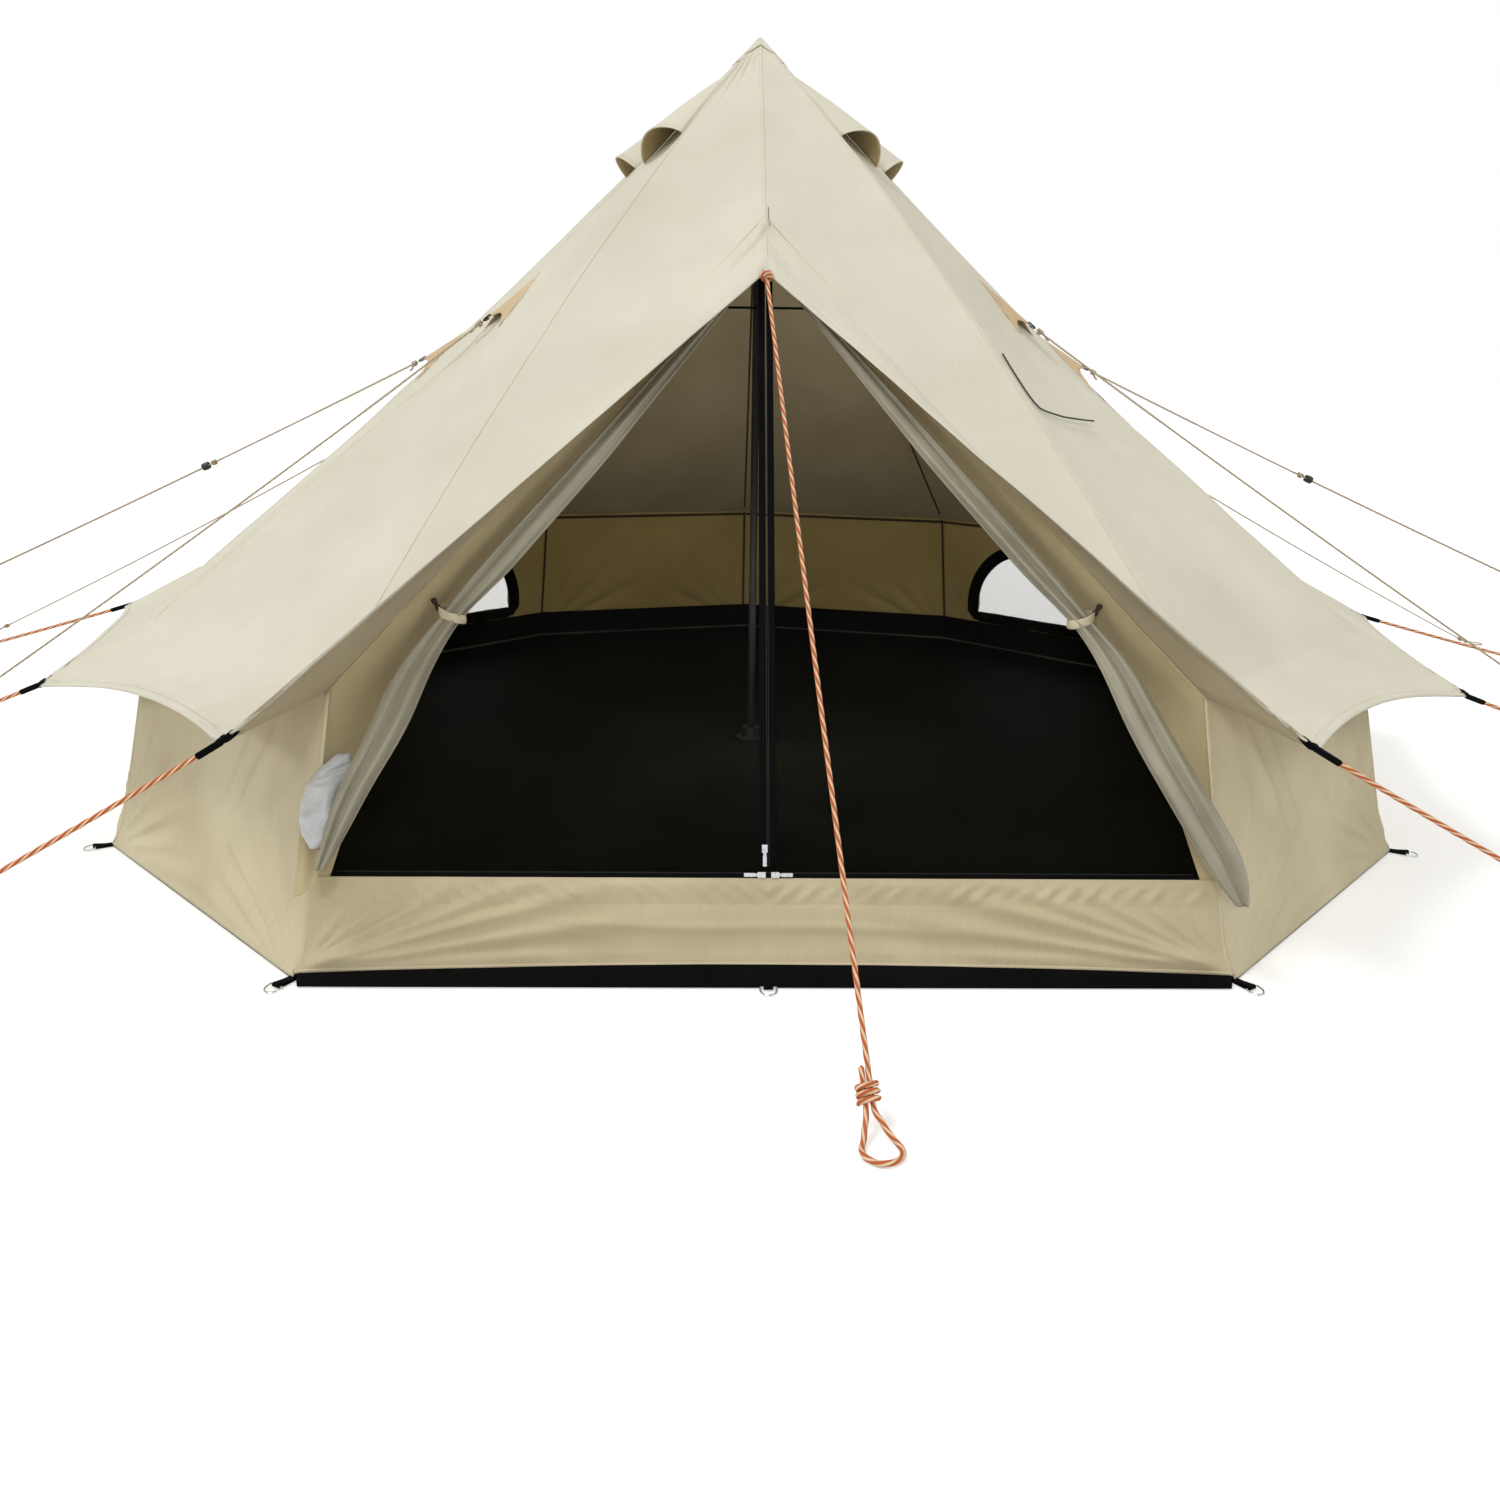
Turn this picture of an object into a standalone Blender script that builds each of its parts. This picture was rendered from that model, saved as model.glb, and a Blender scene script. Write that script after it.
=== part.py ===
"""A twelve-sided bell tent on a centre pole, pitched, with its mesh door closed and its curtains tied back.

Metres, +Z up. The origin is on the ground under the centre pole and the door faces -Y. Angles go round the
pole from the door: 0 is the door, 90 is +X, 180 is the back.
"""

import math

import bmesh
import bpy
from mathutils import Matrix, Vector

# Driving dimensions
BASE_RADIUS = 2.0
APEX_HEIGHT = 2.332
PANELS = 12
PANEL_STEP = 360.0 / PANELS
CLEAR = 0.0006

# Roof: the hips are given by their radius and height where they cross the walls and at their tips
WALL_LEAN = 0.128
WALL_TOP_RADIUS = BASE_RADIUS - WALL_LEAN
WALL_TOP_HEIGHT = 0.600
HIP_SAG = 0.048
FRONT_HIP_RISE = 0.080
EAVE_REACH = 0.273
EAVE_RADIUS = WALL_TOP_RADIUS + EAVE_REACH
EAVE_DROP = 0.144
EAVE_HEIGHT = WALL_TOP_HEIGHT - EAVE_DROP
FRONT_EAVE_DROP = 0.048
FRONT_EAVE_HEIGHT = WALL_TOP_HEIGHT - FRONT_EAVE_DROP
SCALLOP = 0.24
PORCH_RADIUS = 0.800
PORCH_DROP = 0.676
PORCH_HEIGHT = APEX_HEIGHT - PORCH_DROP
PORCH_LIP = 0.130
PORCH_LIP_DROP = 0.128
PORCH_EDGE_RADIUS = PORCH_RADIUS + PORCH_LIP
PORCH_EDGE_HEIGHT = PORCH_HEIGHT - PORCH_LIP_DROP
ROOF_CLOTH = 0.004
ROOF_ROWS = (0.0, 0.05, 0.09, 0.13, 0.17, 0.20, 0.232, 0.42, 0.60, 0.70, 0.80, 1.0)
ROOF_ACROSS = 8

# Walls
WALL_CLOTH = 0.003
HEM_INSET = 0.032
HEM_RADIUS = BASE_RADIUS - HEM_INSET
HEM_HEIGHT = 0.050
WALL_FOOT = 0.0050
HEAD_GAP = 0.0070
WALL_HEAD_RADIUS = WALL_TOP_RADIUS + 0.002
WALL_HEAD = WALL_TOP_HEIGHT - HEAD_GAP
WINDOW_RADIUS = 0.31
WINDOW_SILL = 0.165
WINDOW_ANGLE = 135.0
TRIM_WIDTH = 0.032
TRIM_THICK = 0.003
NET_THICK = 0.0015
FLAP_ROLL = 0.026
FLAP_LENGTH = 0.56

# Door
SILL_FOOT = 0.0235
SILL_TOP = 0.200
JAMB_INSET = 0.070
SILL_HALF = BASE_RADIUS * math.sin(math.radians(PANEL_STEP)) - JAMB_INSET
DOOR_PEAK_Y = -PORCH_RADIUS
DOOR_PEAK_Z = PORCH_HEIGHT - 0.0122
MESH_HEAD = 0.0688
MESH_PEAK_Z = DOOR_PEAK_Z - MESH_HEAD
MESH_TAPER = 0.090
MESH_SHOULDER_X = SILL_HALF - MESH_TAPER
MESH_SHOULDER_Z = WALL_TOP_HEIGHT
MESH_THICK = 0.002
ZIP_TAPE = 0.020
LEAF_LAP = 0.006
SILL_ZIP_HEIGHT = 0.0245
TIE_HEIGHT = 0.715
CURTAIN_FOOT = 0.195

# Floor and foot
SHEET_THICK = 0.003
SHEET_INSET = 0.047
SHEET_RADIUS = BASE_RADIUS - SHEET_INSET
LIP_HEIGHT = 0.115
LIP_BACK = 0.0038
LIP_SEAM = 0.0040
BAND_THICK = 0.0025
BAND_WIDTH = 0.040
STRAP_WIDTH = 0.020
STRAP_REACH = 0.036
RING_HALF = 0.017
RING_LEG = 0.010
RING_WIRE = 0.002
SLEEVE_HEIGHT = 0.0058
THRESHOLD = 2 * BASE_RADIUS * math.sin(math.radians(PANEL_STEP)) - 0.040
APRON_REACH = 0.030
APRON_LAP = 0.006
WELT_THICK = 0.004

# Pole
POLE_RADIUS = 0.0125
POLE_JOIN = 1.150
POLE_TOP = APEX_HEIGHT - 0.0124
TIP_CONE = 0.0305
TIP_HEIGHT = 0.0436

# Ropes
THICK_ROPE = 0.011
THIN_ROPE = 0.006
TAIL_CORD = 0.005
LOOP_RADIUS = 0.035

RING_ANGLES = (-150, -120, -90, -60, -30, 30, 60, 90, 120, 150, 180)


for old in list(bpy.data.objects):
    bpy.data.objects.remove(old, do_unlink=True)

tent = bpy.data.collections.new("bell_tent")
bpy.context.scene.collection.children.link(tent)
tools = bpy.data.collections.new("cutters")
bpy.context.scene.collection.children.link(tools)


def material(name, colour, roughness, metallic=0.0):
    made = bpy.data.materials.new(name)
    made.use_nodes = True
    shader = made.node_tree.nodes["Principled BSDF"]
    shader.inputs["Base Color"].default_value = (*colour, 1.0)
    shader.inputs["Roughness"].default_value = roughness
    shader.inputs["Metallic"].default_value = metallic
    return made


CREAM = material("cream_canvas", (0.76, 0.72, 0.61), 0.85)
TAN = material("tan_canvas", (0.58, 0.50, 0.34), 0.85)
SILVER_CLOTH = material("silver_cloth", (0.50, 0.50, 0.47), 0.55)
BLACK_MESH = material("black_mesh", (0.01, 0.01, 0.012), 0.8)
WHITE_NET = material("white_net", (0.80, 0.80, 0.78), 0.8)
BLACK_SHEET = material("black_sheet", (0.012, 0.012, 0.013), 0.6)
BLACK_WEB = material("black_webbing", (0.012, 0.012, 0.014), 0.8)
BLACK_STEEL = material("black_steel", (0.01, 0.01, 0.012), 0.35, 0.6)
STEEL = material("bright_steel", (0.62, 0.62, 0.62), 0.3, 1.0)
ROPE = material("rope", (0.52, 0.36, 0.22), 0.8)
DARK_CORD = material("dark_cord", (0.05, 0.045, 0.04), 0.8)


def add(name, data, look, collection=None):
    """Puts a mesh or curve into the tent's collection as one named object."""
    made = bpy.data.objects.new(name, data)
    data.materials.append(look)
    (collection or tent).objects.link(made)
    return made


def helper(made):
    """Marks an object as a cutter or guide."""
    made.hide_render = True
    made.display_type = "WIRE"
    return made


def polar(angle, radius, z):
    turn = math.radians(angle)
    return Vector((radius * math.sin(turn), -radius * math.cos(turn), z))


def open_surface(name, points, faces, look):
    data = bpy.data.meshes.new(name)
    data.from_pydata([tuple(p) for p in points], [], faces)
    data.validate()
    return add(name, data, look)


def solidify(made, thickness, offset):
    shell = made.modifiers.new("cloth", "SOLIDIFY")
    shell.thickness = thickness
    shell.offset = offset
    shell.use_even_offset = True
    return made


def boolean(made, other, operation):
    step = made.modifiers.new(operation.lower() + "_" + other.name, "BOOLEAN")
    step.operation = operation
    step.object = other
    step.solver = "EXACT"


def from_bmesh(name, bm, look, collection=None):
    data = bpy.data.meshes.new(name)
    bm.to_mesh(data)
    bm.free()
    return add(name, data, look, collection)


def box(name, size, matrix, look, collection=None):
    bm = bmesh.new()
    bmesh.ops.create_cube(bm, size=1.0, matrix=matrix @ Matrix.Diagonal((*size, 1.0)))
    return from_bmesh(name, bm, look, collection)


def cylinder(name, radius, depth, matrix, look, sides=20, collection=None):
    bm = bmesh.new()
    bmesh.ops.create_cone(
        bm, cap_ends=True, segments=sides, radius1=radius, radius2=radius, depth=depth, matrix=matrix
    )
    return from_bmesh(name, bm, look, collection)


def plate(name, outlines, thickness, matrix, look, collection=None):
    """A flat outline, with any holes as further outlines, given a thickness; it becomes a mesh."""
    curve = bpy.data.curves.new(name + "_outline", "CURVE")
    curve.dimensions = "2D"
    curve.fill_mode = "BOTH"
    curve.extrude = thickness / 2
    for outline in outlines:
        spline = curve.splines.new("POLY")
        spline.points.add(len(outline) - 1)
        for point, (x, y) in zip(spline.points, outline):
            point.co = (x, y, 0.0, 1.0)
        spline.use_cyclic_u = True
    return meshed(name, curve, matrix, look, collection)


def meshed(name, curve, matrix, look, collection=None):
    """The closed mesh of a curve, with its caps welded."""
    guide = bpy.data.objects.new(name + "_curve", curve)
    tools.objects.link(guide)
    bpy.context.view_layer.update()
    data = bpy.data.meshes.new_from_object(guide.evaluated_get(bpy.context.evaluated_depsgraph_get()))
    bpy.data.objects.remove(guide, do_unlink=True)
    bpy.data.curves.remove(curve)
    bm = bmesh.new()
    bm.from_mesh(data)
    bmesh.ops.remove_doubles(bm, verts=bm.verts, dist=1e-5)
    bmesh.ops.transform(bm, matrix=matrix, verts=bm.verts)
    bmesh.ops.recalc_face_normals(bm, faces=bm.faces)
    bm.to_mesh(data)
    bm.free()
    data.materials.clear()
    data.name = name
    return add(name, data, look, collection)


def tube(name, points, radius, look, closed=False, resolution=1):
    curve = bpy.data.curves.new(name, "CURVE")
    curve.dimensions = "3D"
    curve.bevel_depth = radius
    curve.bevel_resolution = resolution
    curve.use_fill_caps = True
    spline = curve.splines.new("POLY")
    spline.points.add(len(points) - 1)
    for point, place in zip(spline.points, points):
        point.co = (*place, 1.0)
    spline.use_cyclic_u = closed
    return meshed(name, curve, Matrix.Identity(4), look)


def turned(name, profile, look, steps=24):
    """A profile of (radius, height) points, turned about the Z axis."""
    data = bpy.data.meshes.new(name)
    data.from_pydata([(r, 0.0, z) for r, z in profile], [(i, i + 1) for i in range(len(profile) - 1)], [])
    made = add(name, data, look)
    screw = made.modifiers.new("turn", "SCREW")
    screw.steps = steps
    screw.render_steps = steps
    screw.use_merge_vertices = True
    screw.merge_threshold = 0.00005
    return made


def loft(name, rings, look):
    """A closed body through rings of points, capped at both ends."""
    count = len(rings[0])
    points = [p for ring in rings for p in ring]
    faces = [tuple(range(count))[::-1]]
    for row in range(len(rings) - 1):
        low = row * count
        for k in range(count):
            nxt = (k + 1) % count
            faces.append((low + k, low + nxt, low + count + nxt, low + count + k))
    faces.append(tuple(range((len(rings) - 1) * count, len(rings) * count)))
    made = open_surface(name, points, faces, look)
    bm = bmesh.new()
    bm.from_mesh(made.data)
    bmesh.ops.recalc_face_normals(bm, faces=bm.faces)
    bm.to_mesh(made.data)
    bm.free()
    return made


def frame_at(origin, across, up):
    """A matrix with its X along across, its Y along up and its Z out of the plane."""
    x = across.normalized()
    z = x.cross(up).normalized()
    y = z.cross(x)
    turn = Matrix((x, y, z)).transposed().to_4x4()
    return Matrix.Translation(origin) @ turn


def hip_point(angle, share):
    """A point on the hip at an angle, share of the way from the apex to the wall top; 2 is the tip."""
    turn = (angle + 180.0) % 360.0 - 180.0
    if turn == 0.0:
        if share > 1.0:
            return polar(0, PORCH_EDGE_RADIUS, PORCH_EDGE_HEIGHT)
        return polar(0, PORCH_RADIUS * share, APEX_HEIGHT + (PORCH_HEIGHT - APEX_HEIGHT) * share)
    front = abs(turn) in (30.0,)
    if share > 1.0:
        return polar(turn, EAVE_RADIUS, FRONT_EAVE_HEIGHT if front else EAVE_HEIGHT)
    chord = APEX_HEIGHT + (WALL_TOP_HEIGHT - APEX_HEIGHT) * share
    bow = (FRONT_HIP_RISE if front else -HIP_SAG) * 4 * share * (1 - share)
    return polar(turn, WALL_TOP_RADIUS * share, chord + bow)


def roof_point(panel, column, share):
    """A point on the roof: panel from 0 at the door's right, column across it, share down it."""
    start = panel * PANEL_STEP
    t = column / ROOF_ACROSS
    here = hip_point(start, share).lerp(hip_point(start + PANEL_STEP, share), t)
    if share > 1.0 and panel not in (0, PANELS - 1):
        above = hip_point(start, 1.0).lerp(hip_point(start + PANEL_STEP, 1.0), t)
        here = here.lerp(above, SCALLOP * 4 * t * (1 - t))
    return here


def wall_radius(z):
    if z <= HEM_HEIGHT:
        return BASE_RADIUS + (HEM_RADIUS - BASE_RADIUS) * z / HEM_HEIGHT
    share = (z - HEM_HEIGHT) / (WALL_HEAD - HEM_HEIGHT)
    return HEM_RADIUS + (WALL_HEAD_RADIUS - HEM_RADIUS) * share


def wall_corner(angle, z):
    return polar(angle, wall_radius(z), z)


# Roof: a grid of rows from the apex to the eave, made thick, with a gusset on each upper rope's hip
def make_roof():
    shares = ROOF_ROWS[1:] + (2.0,)
    columns = PANELS * ROOF_ACROSS
    points = [Vector((0, 0, APEX_HEIGHT))]
    for share in shares:
        for c in range(columns):
            points.append(roof_point(c // ROOF_ACROSS, c % ROOF_ACROSS, share))
    faces = [(0, 1 + c, 1 + (c + 1) % columns) for c in range(columns)]
    for row in range(len(shares) - 1):
        high = 1 + row * columns
        for c in range(columns):
            nxt = (c + 1) % columns
            faces.append((high + c, high + columns + c, high + columns + nxt, high + nxt))
    return solidify(open_surface("roof", points, faces, CREAM), ROOF_CLOTH, -1.0)


GUSSET_TIPS = {
    # angle, radius, height above the hip
    "upper60": (57.5, 0.950, 0.0070),
    "upper90": (90.0, 1.116, 0.0427),
    "upper120": (120.0, 1.110, 0.0413),
}


def gusset_tip(label, side):
    """The point that an upper rope pulls, out from the hip nearest to it."""
    angle, radius, lift = GUSSET_TIPS[label]
    hip = hip_point(side * PANEL_STEP * round(angle / PANEL_STEP), radius / WALL_TOP_RADIUS)
    return polar(side * angle, radius, hip.z + lift)


def add_gussets(roof):
    """Each gusset is a slim four-sided cone that leans down the slope to the point the rope pulls."""
    for label, (angle, radius, _) in GUSSET_TIPS.items():
        for side in (-1, 1):
            tip = gusset_tip(label, side)
            hip = PANEL_STEP * round(angle / PANEL_STEP)
            share = (radius - 0.120) / WALL_TOP_RADIUS
            middle = hip_point(side * hip, share)
            slope = hip_point(side * hip, share + 0.05) - middle
            slope.normalize()
            across = polar(side * hip + 90, 1.0, 0.0)
            normal = across.cross(slope).normalized()
            if normal.z < 0:
                normal.negate()
            centre = middle - normal * 0.010
            lean = tip - centre
            shape = Matrix((slope * 0.085, across * 0.045, lean)).transposed().to_4x4()
            bm = bmesh.new()
            bmesh.ops.create_cone(
                bm,
                cap_ends=True,
                segments=4,
                radius1=1.0,
                radius2=0.06,
                depth=1.0,
                matrix=Matrix.Translation((0, 0, 0.5)),
            )
            bmesh.ops.transform(bm, matrix=Matrix.Translation(centre) @ shape, verts=bm.verts)
            bmesh.ops.recalc_face_normals(bm, faces=bm.faces)
            name = "gusset_" + label + ("_left" if side < 0 else "_right")
            boolean(roof, helper(from_bmesh(name, bm, CREAM, tools)), "UNION")


roof = make_roof()
add_gussets(roof)


# Apex cap: a pointed twelve-sided cap just outside the roof's top
def make_cap():
    share = 0.045
    points = [Vector((0, 0, APEX_HEIGHT + CLEAR * 1.6))]
    count = PANELS * 2
    for ring in (0.5, 1.0):
        for c in range(count):
            low = roof_point(c // 2, (c % 2) * ROOF_ACROSS / 2, share * ring)
            points.append(low + Vector((0, 0, CLEAR * 1.6)))
    faces = [(0, 1 + c, 1 + (c + 1) % count) for c in range(count)]
    for c in range(count):
        nxt = (c + 1) % count
        faces.append((1 + c, 1 + count + c, 1 + count + nxt, 1 + nxt))
    return solidify(open_surface("apex_cap", points, faces, CREAM), 0.003, 1.0)


make_cap()


# Vent hoods: an arch that starts flat on the roof near the apex and opens downhill
HOOD_HEIGHT = 0.070


def make_hood(name, panel):
    rows = ROOF_ROWS[2:7]
    first = roof_point(panel, 4, rows[0])
    last = roof_point(panel, 4, rows[-1])
    across = roof_point(panel, 8, rows[-1]) - roof_point(panel, 0, rows[-1])
    normal = (last - first).cross(across).normalized()
    if normal.z < 0:
        normal.negate()
    points = []
    columns = range(1, ROOF_ACROSS)
    for share in rows:
        grow = (share - rows[0]) / (rows[-1] - rows[0])
        for column in columns:
            arch = math.sin(math.pi * (column - 1) / (ROOF_ACROSS - 2))
            lift = 0.0010 + HOOD_HEIGHT * grow**0.8 * arch**0.7
            points.append(roof_point(panel, column, share) + normal * lift)
    count = len(columns)
    faces = []
    for row in range(len(rows) - 1):
        for c in range(count - 1):
            low = row * count + c
            faces.append((low, low + count, low + count + 1, low + 1))
    return solidify(open_surface(name, points, faces, CREAM), 0.003, 1.0)


make_hood("vent_hood_right_front", 1)
make_hood("vent_hood_right_rear", 2)
make_hood("vent_hood_left_front", 10)
make_hood("vent_hood_left_rear", 9)


# Walls, with a half-moon window near the back of each
def half_moon(radius, sill, count=14):
    arc = [
        (radius * math.cos(math.pi * k / count), radius * math.sin(math.pi * k / count))
        for k in range(count + 1)
    ]
    if sill <= 0.0:
        return arc
    return [(radius, -sill)] + arc + [(-radius, -sill)]


def window_frame(side):
    """The plane of the window's wall panel, with its origin in the middle of the window's lower edge."""
    reach = math.cos(math.radians(PANEL_STEP / 2))
    low = polar(side * WINDOW_ANGLE, wall_radius(WINDOW_SILL) * reach, WINDOW_SILL)
    high = polar(side * WINDOW_ANGLE, wall_radius(0.5) * reach, 0.5)
    return frame_at(low, polar(side * WINDOW_ANGLE + 90, 1.0, 0.0), high - low)


def make_wall(name, side):
    angles = [30 + 15 * k for k in range(11)]
    rows = (WALL_FOOT, HEM_HEIGHT, 0.32, WALL_HEAD)
    points = []
    reach = math.cos(math.radians(PANEL_STEP / 2))
    for z in rows:
        for angle in angles:
            radius = wall_radius(z) * (reach if angle % 30 else 1.0)
            place = polar(side * angle, radius, z)
            if angle == 180:
                place.x = side * 0.0014
            points.append(place)
    count = len(angles)
    faces = []
    for row in range(len(rows) - 1):
        for c in range(count - 1):
            low = row * count + c
            face = (low, low + 1, low + count + 1, low + count)
            faces.append(face if side > 0 else face[::-1])
    wall = solidify(open_surface(name, points, faces, TAN), WALL_CLOTH, -1.0)
    bm = bmesh.new()
    face = bm.faces.new([bm.verts.new((x, y, -0.06)) for x, y in half_moon(WINDOW_RADIUS, 0.0)])
    grown = bmesh.ops.extrude_face_region(bm, geom=[face])
    top = [v for v in grown["geom"] if isinstance(v, bmesh.types.BMVert)]
    bmesh.ops.translate(bm, verts=top, vec=(0, 0, 0.12))
    bmesh.ops.transform(bm, matrix=window_frame(side), verts=bm.verts)
    bmesh.ops.recalc_face_normals(bm, faces=bm.faces)
    boolean(wall, helper(from_bmesh("cut_" + name, bm, TAN, tools)), "DIFFERENCE")
    return wall


for side, label in ((-1, "left"), (1, "right")):
    make_wall("wall_" + label, side)
    frame = window_frame(side)
    inner = 0.0005 + WALL_CLOTH
    plate(
        "window_trim_" + label,
        [half_moon(WINDOW_RADIUS + TRIM_WIDTH, TRIM_WIDTH), half_moon(WINDOW_RADIUS, 0.0)],
        TRIM_THICK,
        frame @ Matrix.Translation((0, 0, -inner - TRIM_THICK / 2)),
        BLACK_WEB,
    )
    plate(
        "window_net_" + label,
        [half_moon(WINDOW_RADIUS - 2 * CLEAR, 0.0)],
        NET_THICK,
        frame @ Matrix.Translation((0, CLEAR, -WALL_CLOTH / 2)),
        WHITE_NET,
    )
    along = Matrix.Rotation(math.pi / 2, 4, "Y")
    place = Matrix.Translation((0, -0.012, -inner - TRIM_THICK - CLEAR - FLAP_ROLL))
    cylinder("window_flap_" + label, FLAP_ROLL, FLAP_LENGTH, frame @ place @ along, TAN, sides=12)


# Door surround: the sill and both jambs, one cloth
door_foot = wall_corner(30, SILL_TOP).y
door_slope = (DOOR_PEAK_Y - door_foot) / (DOOR_PEAK_Z - SILL_TOP)
door_stretch = math.hypot(1.0, door_slope)
door_frame = frame_at(Vector((0, door_foot, SILL_TOP)), Vector((1, 0, 0)), Vector((0, door_slope, 1)))


def door_point(x, z):
    return Vector((x, door_foot + door_slope * (z - SILL_TOP), z))


def make_surround():
    """The sill is flat; each jamb is ruled between the leaf's edge and the roof's crease."""
    steps = 5
    inset = Vector((0.0020, 0, 0))
    head = wall_corner(-30, WALL_HEAD - 0.0080) + inset
    shoulder = door_point(-MESH_SHOULDER_X, MESH_SHOULDER_Z)
    inner = [door_point(-SILL_HALF, SILL_TOP)]
    outer = [wall_corner(-30, SILL_TOP) + inset]
    for k in range(steps + 1):
        inner.append(shoulder.lerp(door_point(0, MESH_PEAK_Z), k / steps))
        outer.append(head.lerp(door_point(0, DOOR_PEAK_Z), k / steps))
    half = inner[:-1] + outer[:-1] + [wall_corner(-30, SILL_FOOT) + inset]
    count = len(inner) - 1
    points = half + [Vector((-p.x, p.y, p.z)) for p in half] + [inner[-1], outer[-1]]
    shift = len(half)
    left_in = list(range(count)) + [2 * shift]
    left_out = list(range(count, 2 * count)) + [2 * shift + 1]
    right_in = [k + shift for k in range(count)] + [2 * shift]
    right_out = [k + shift for k in range(count, 2 * count)] + [2 * shift + 1]
    foot_left, foot_right = shift - 1, 2 * shift - 1
    faces = [(foot_left, foot_right, right_out[0], right_in[0], left_in[0], left_out[0])]
    for k in range(count):
        faces.append((left_out[k], left_in[k], left_in[k + 1], left_out[k + 1]))
        faces.append((right_in[k], right_out[k], right_out[k + 1], right_in[k + 1]))
    points = [p + Vector((0, -CLEAR, 0)) for p in points]
    return solidify(open_surface("door_surround", points, faces, TAN), WALL_CLOTH, 1.0)


make_surround()


# Mesh doors: two leaves in the plane of the opening, each with its half of the centre zip
def make_leaf(name, side):
    low = SILL_ZIP_HEIGHT - 0.004
    shoulder = (MESH_SHOULDER_Z - SILL_TOP) * door_stretch
    peak = (MESH_PEAK_Z - SILL_TOP) * door_stretch
    foot = SILL_HALF - MESH_TAPER * low / shoulder
    tip = peak + LEAF_LAP - (peak + LEAF_LAP - shoulder) * LEAF_LAP / (MESH_SHOULDER_X + LEAF_LAP)
    centre = 0.0004
    outline = [
        (side * centre, low),
        (side * (foot + LEAF_LAP), low),
        (side * (MESH_SHOULDER_X + LEAF_LAP), shoulder),
        (side * LEAF_LAP, tip),
        (side * centre, tip - 2 * LEAF_LAP),
    ]
    lie = -MESH_THICK / 2
    leaf = plate(name, [outline], MESH_THICK, door_frame @ Matrix.Translation((0, 0, lie)), BLACK_MESH)
    tape_top = peak - ZIP_TAPE * 1.6
    tape_low = SILL_ZIP_HEIGHT + 0.002
    size = (ZIP_TAPE - centre, tape_top - tape_low, MESH_THICK + 0.002)
    place = Matrix.Translation((side * (ZIP_TAPE + centre) / 2, (tape_top + tape_low) / 2, lie))
    tape = box("tape_" + name, size, door_frame @ place, BLACK_WEB, tools)
    boolean(leaf, helper(tape), "UNION")
    return leaf


make_leaf("mesh_door_left", -1)
make_leaf("mesh_door_right", 1)

box(
    "sill_zip",
    (2 * (SILL_HALF - 0.012), SILL_ZIP_HEIGHT, WALL_CLOTH),
    door_frame @ Matrix.Translation((0, SILL_ZIP_HEIGHT / 2 + 0.001, CLEAR + WALL_CLOTH / 2)),
    BLACK_WEB,
)

SLIDER = [
    (-0.006, 0.010),
    (-0.006, -0.006),
    (-0.0025, -0.009),
    (-0.004, -0.014),
    (-0.004, -0.036),
    (0.004, -0.036),
    (0.004, -0.014),
    (0.0025, -0.009),
    (0.006, -0.006),
    (0.006, 0.010),
]
plate(
    "slider_centre",
    [SLIDER],
    0.004,
    door_frame @ Matrix.Translation((-0.0075, SILL_ZIP_HEIGHT + 0.043, 0.0036)),
    STEEL,
)
for side, label in ((-1, "left"), (1, "right")):
    spin = Matrix.Rotation(side * math.pi / 2, 4, "Z")
    place = Matrix.Translation((side * 0.016, SILL_ZIP_HEIGHT / 2 + 0.001, 0.0064))
    plate("slider_" + label, [SLIDER], 0.004, door_frame @ place @ spin, STEEL)


# Curtains: gathered cloth from the peak to the tie, opening again below it
ABOVE_TIE = [
    # share of the way up to the peak, out from the leaf's edge, forward, half width, half depth, fold
    (0.8547, -0.0077, 0.0156, 0.016, 0.007, 0.05),
    (0.6802, -0.0149, 0.0340, 0.028, 0.014, 0.12),
    (0.4012, -0.0237, 0.0754, 0.042, 0.022, 0.18),
    (0.1686, -0.0310, 0.0873, 0.044, 0.028, 0.18),
    (0.0698, -0.0092, 0.0974, 0.036, 0.028, 0.12),
]
BELOW_TIE = [
    # share of the way down to the foot, then as above
    (0.1250, -0.0369, 0.0930, 0.040, 0.032, 0.12),
    (0.3750, -0.0280, 0.1356, 0.068, 0.036, 0.18),
    (0.6058, -0.0050, 0.1523, 0.088, 0.038, 0.20),
    (0.8173, 0.0053, 0.1211, 0.076, 0.036, 0.20),
    (1.0000, -0.0011, 0.0771, 0.056, 0.028, 0.20),
]
NECK_RADIUS = 0.0265
NECK_HALF = 0.020
NECK_OUT = -0.0210
NECK_FORWARD = 0.0847
CURTAIN_SIDES = 20


def leaf_edge(z):
    """How far from the middle the opening's edge is at a height."""
    if z > MESH_SHOULDER_Z:
        return MESH_SHOULDER_X * (MESH_PEAK_Z - z) / (MESH_PEAK_Z - MESH_SHOULDER_Z)
    return SILL_HALF - MESH_TAPER * (z - SILL_TOP) / (MESH_SHOULDER_Z - SILL_TOP)


def curtain_middle(z, out, forward):
    return door_point(leaf_edge(z) + out, z) - Vector((0, forward, 0))


neck = curtain_middle(TIE_HEIGHT, NECK_OUT, NECK_FORWARD)


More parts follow.
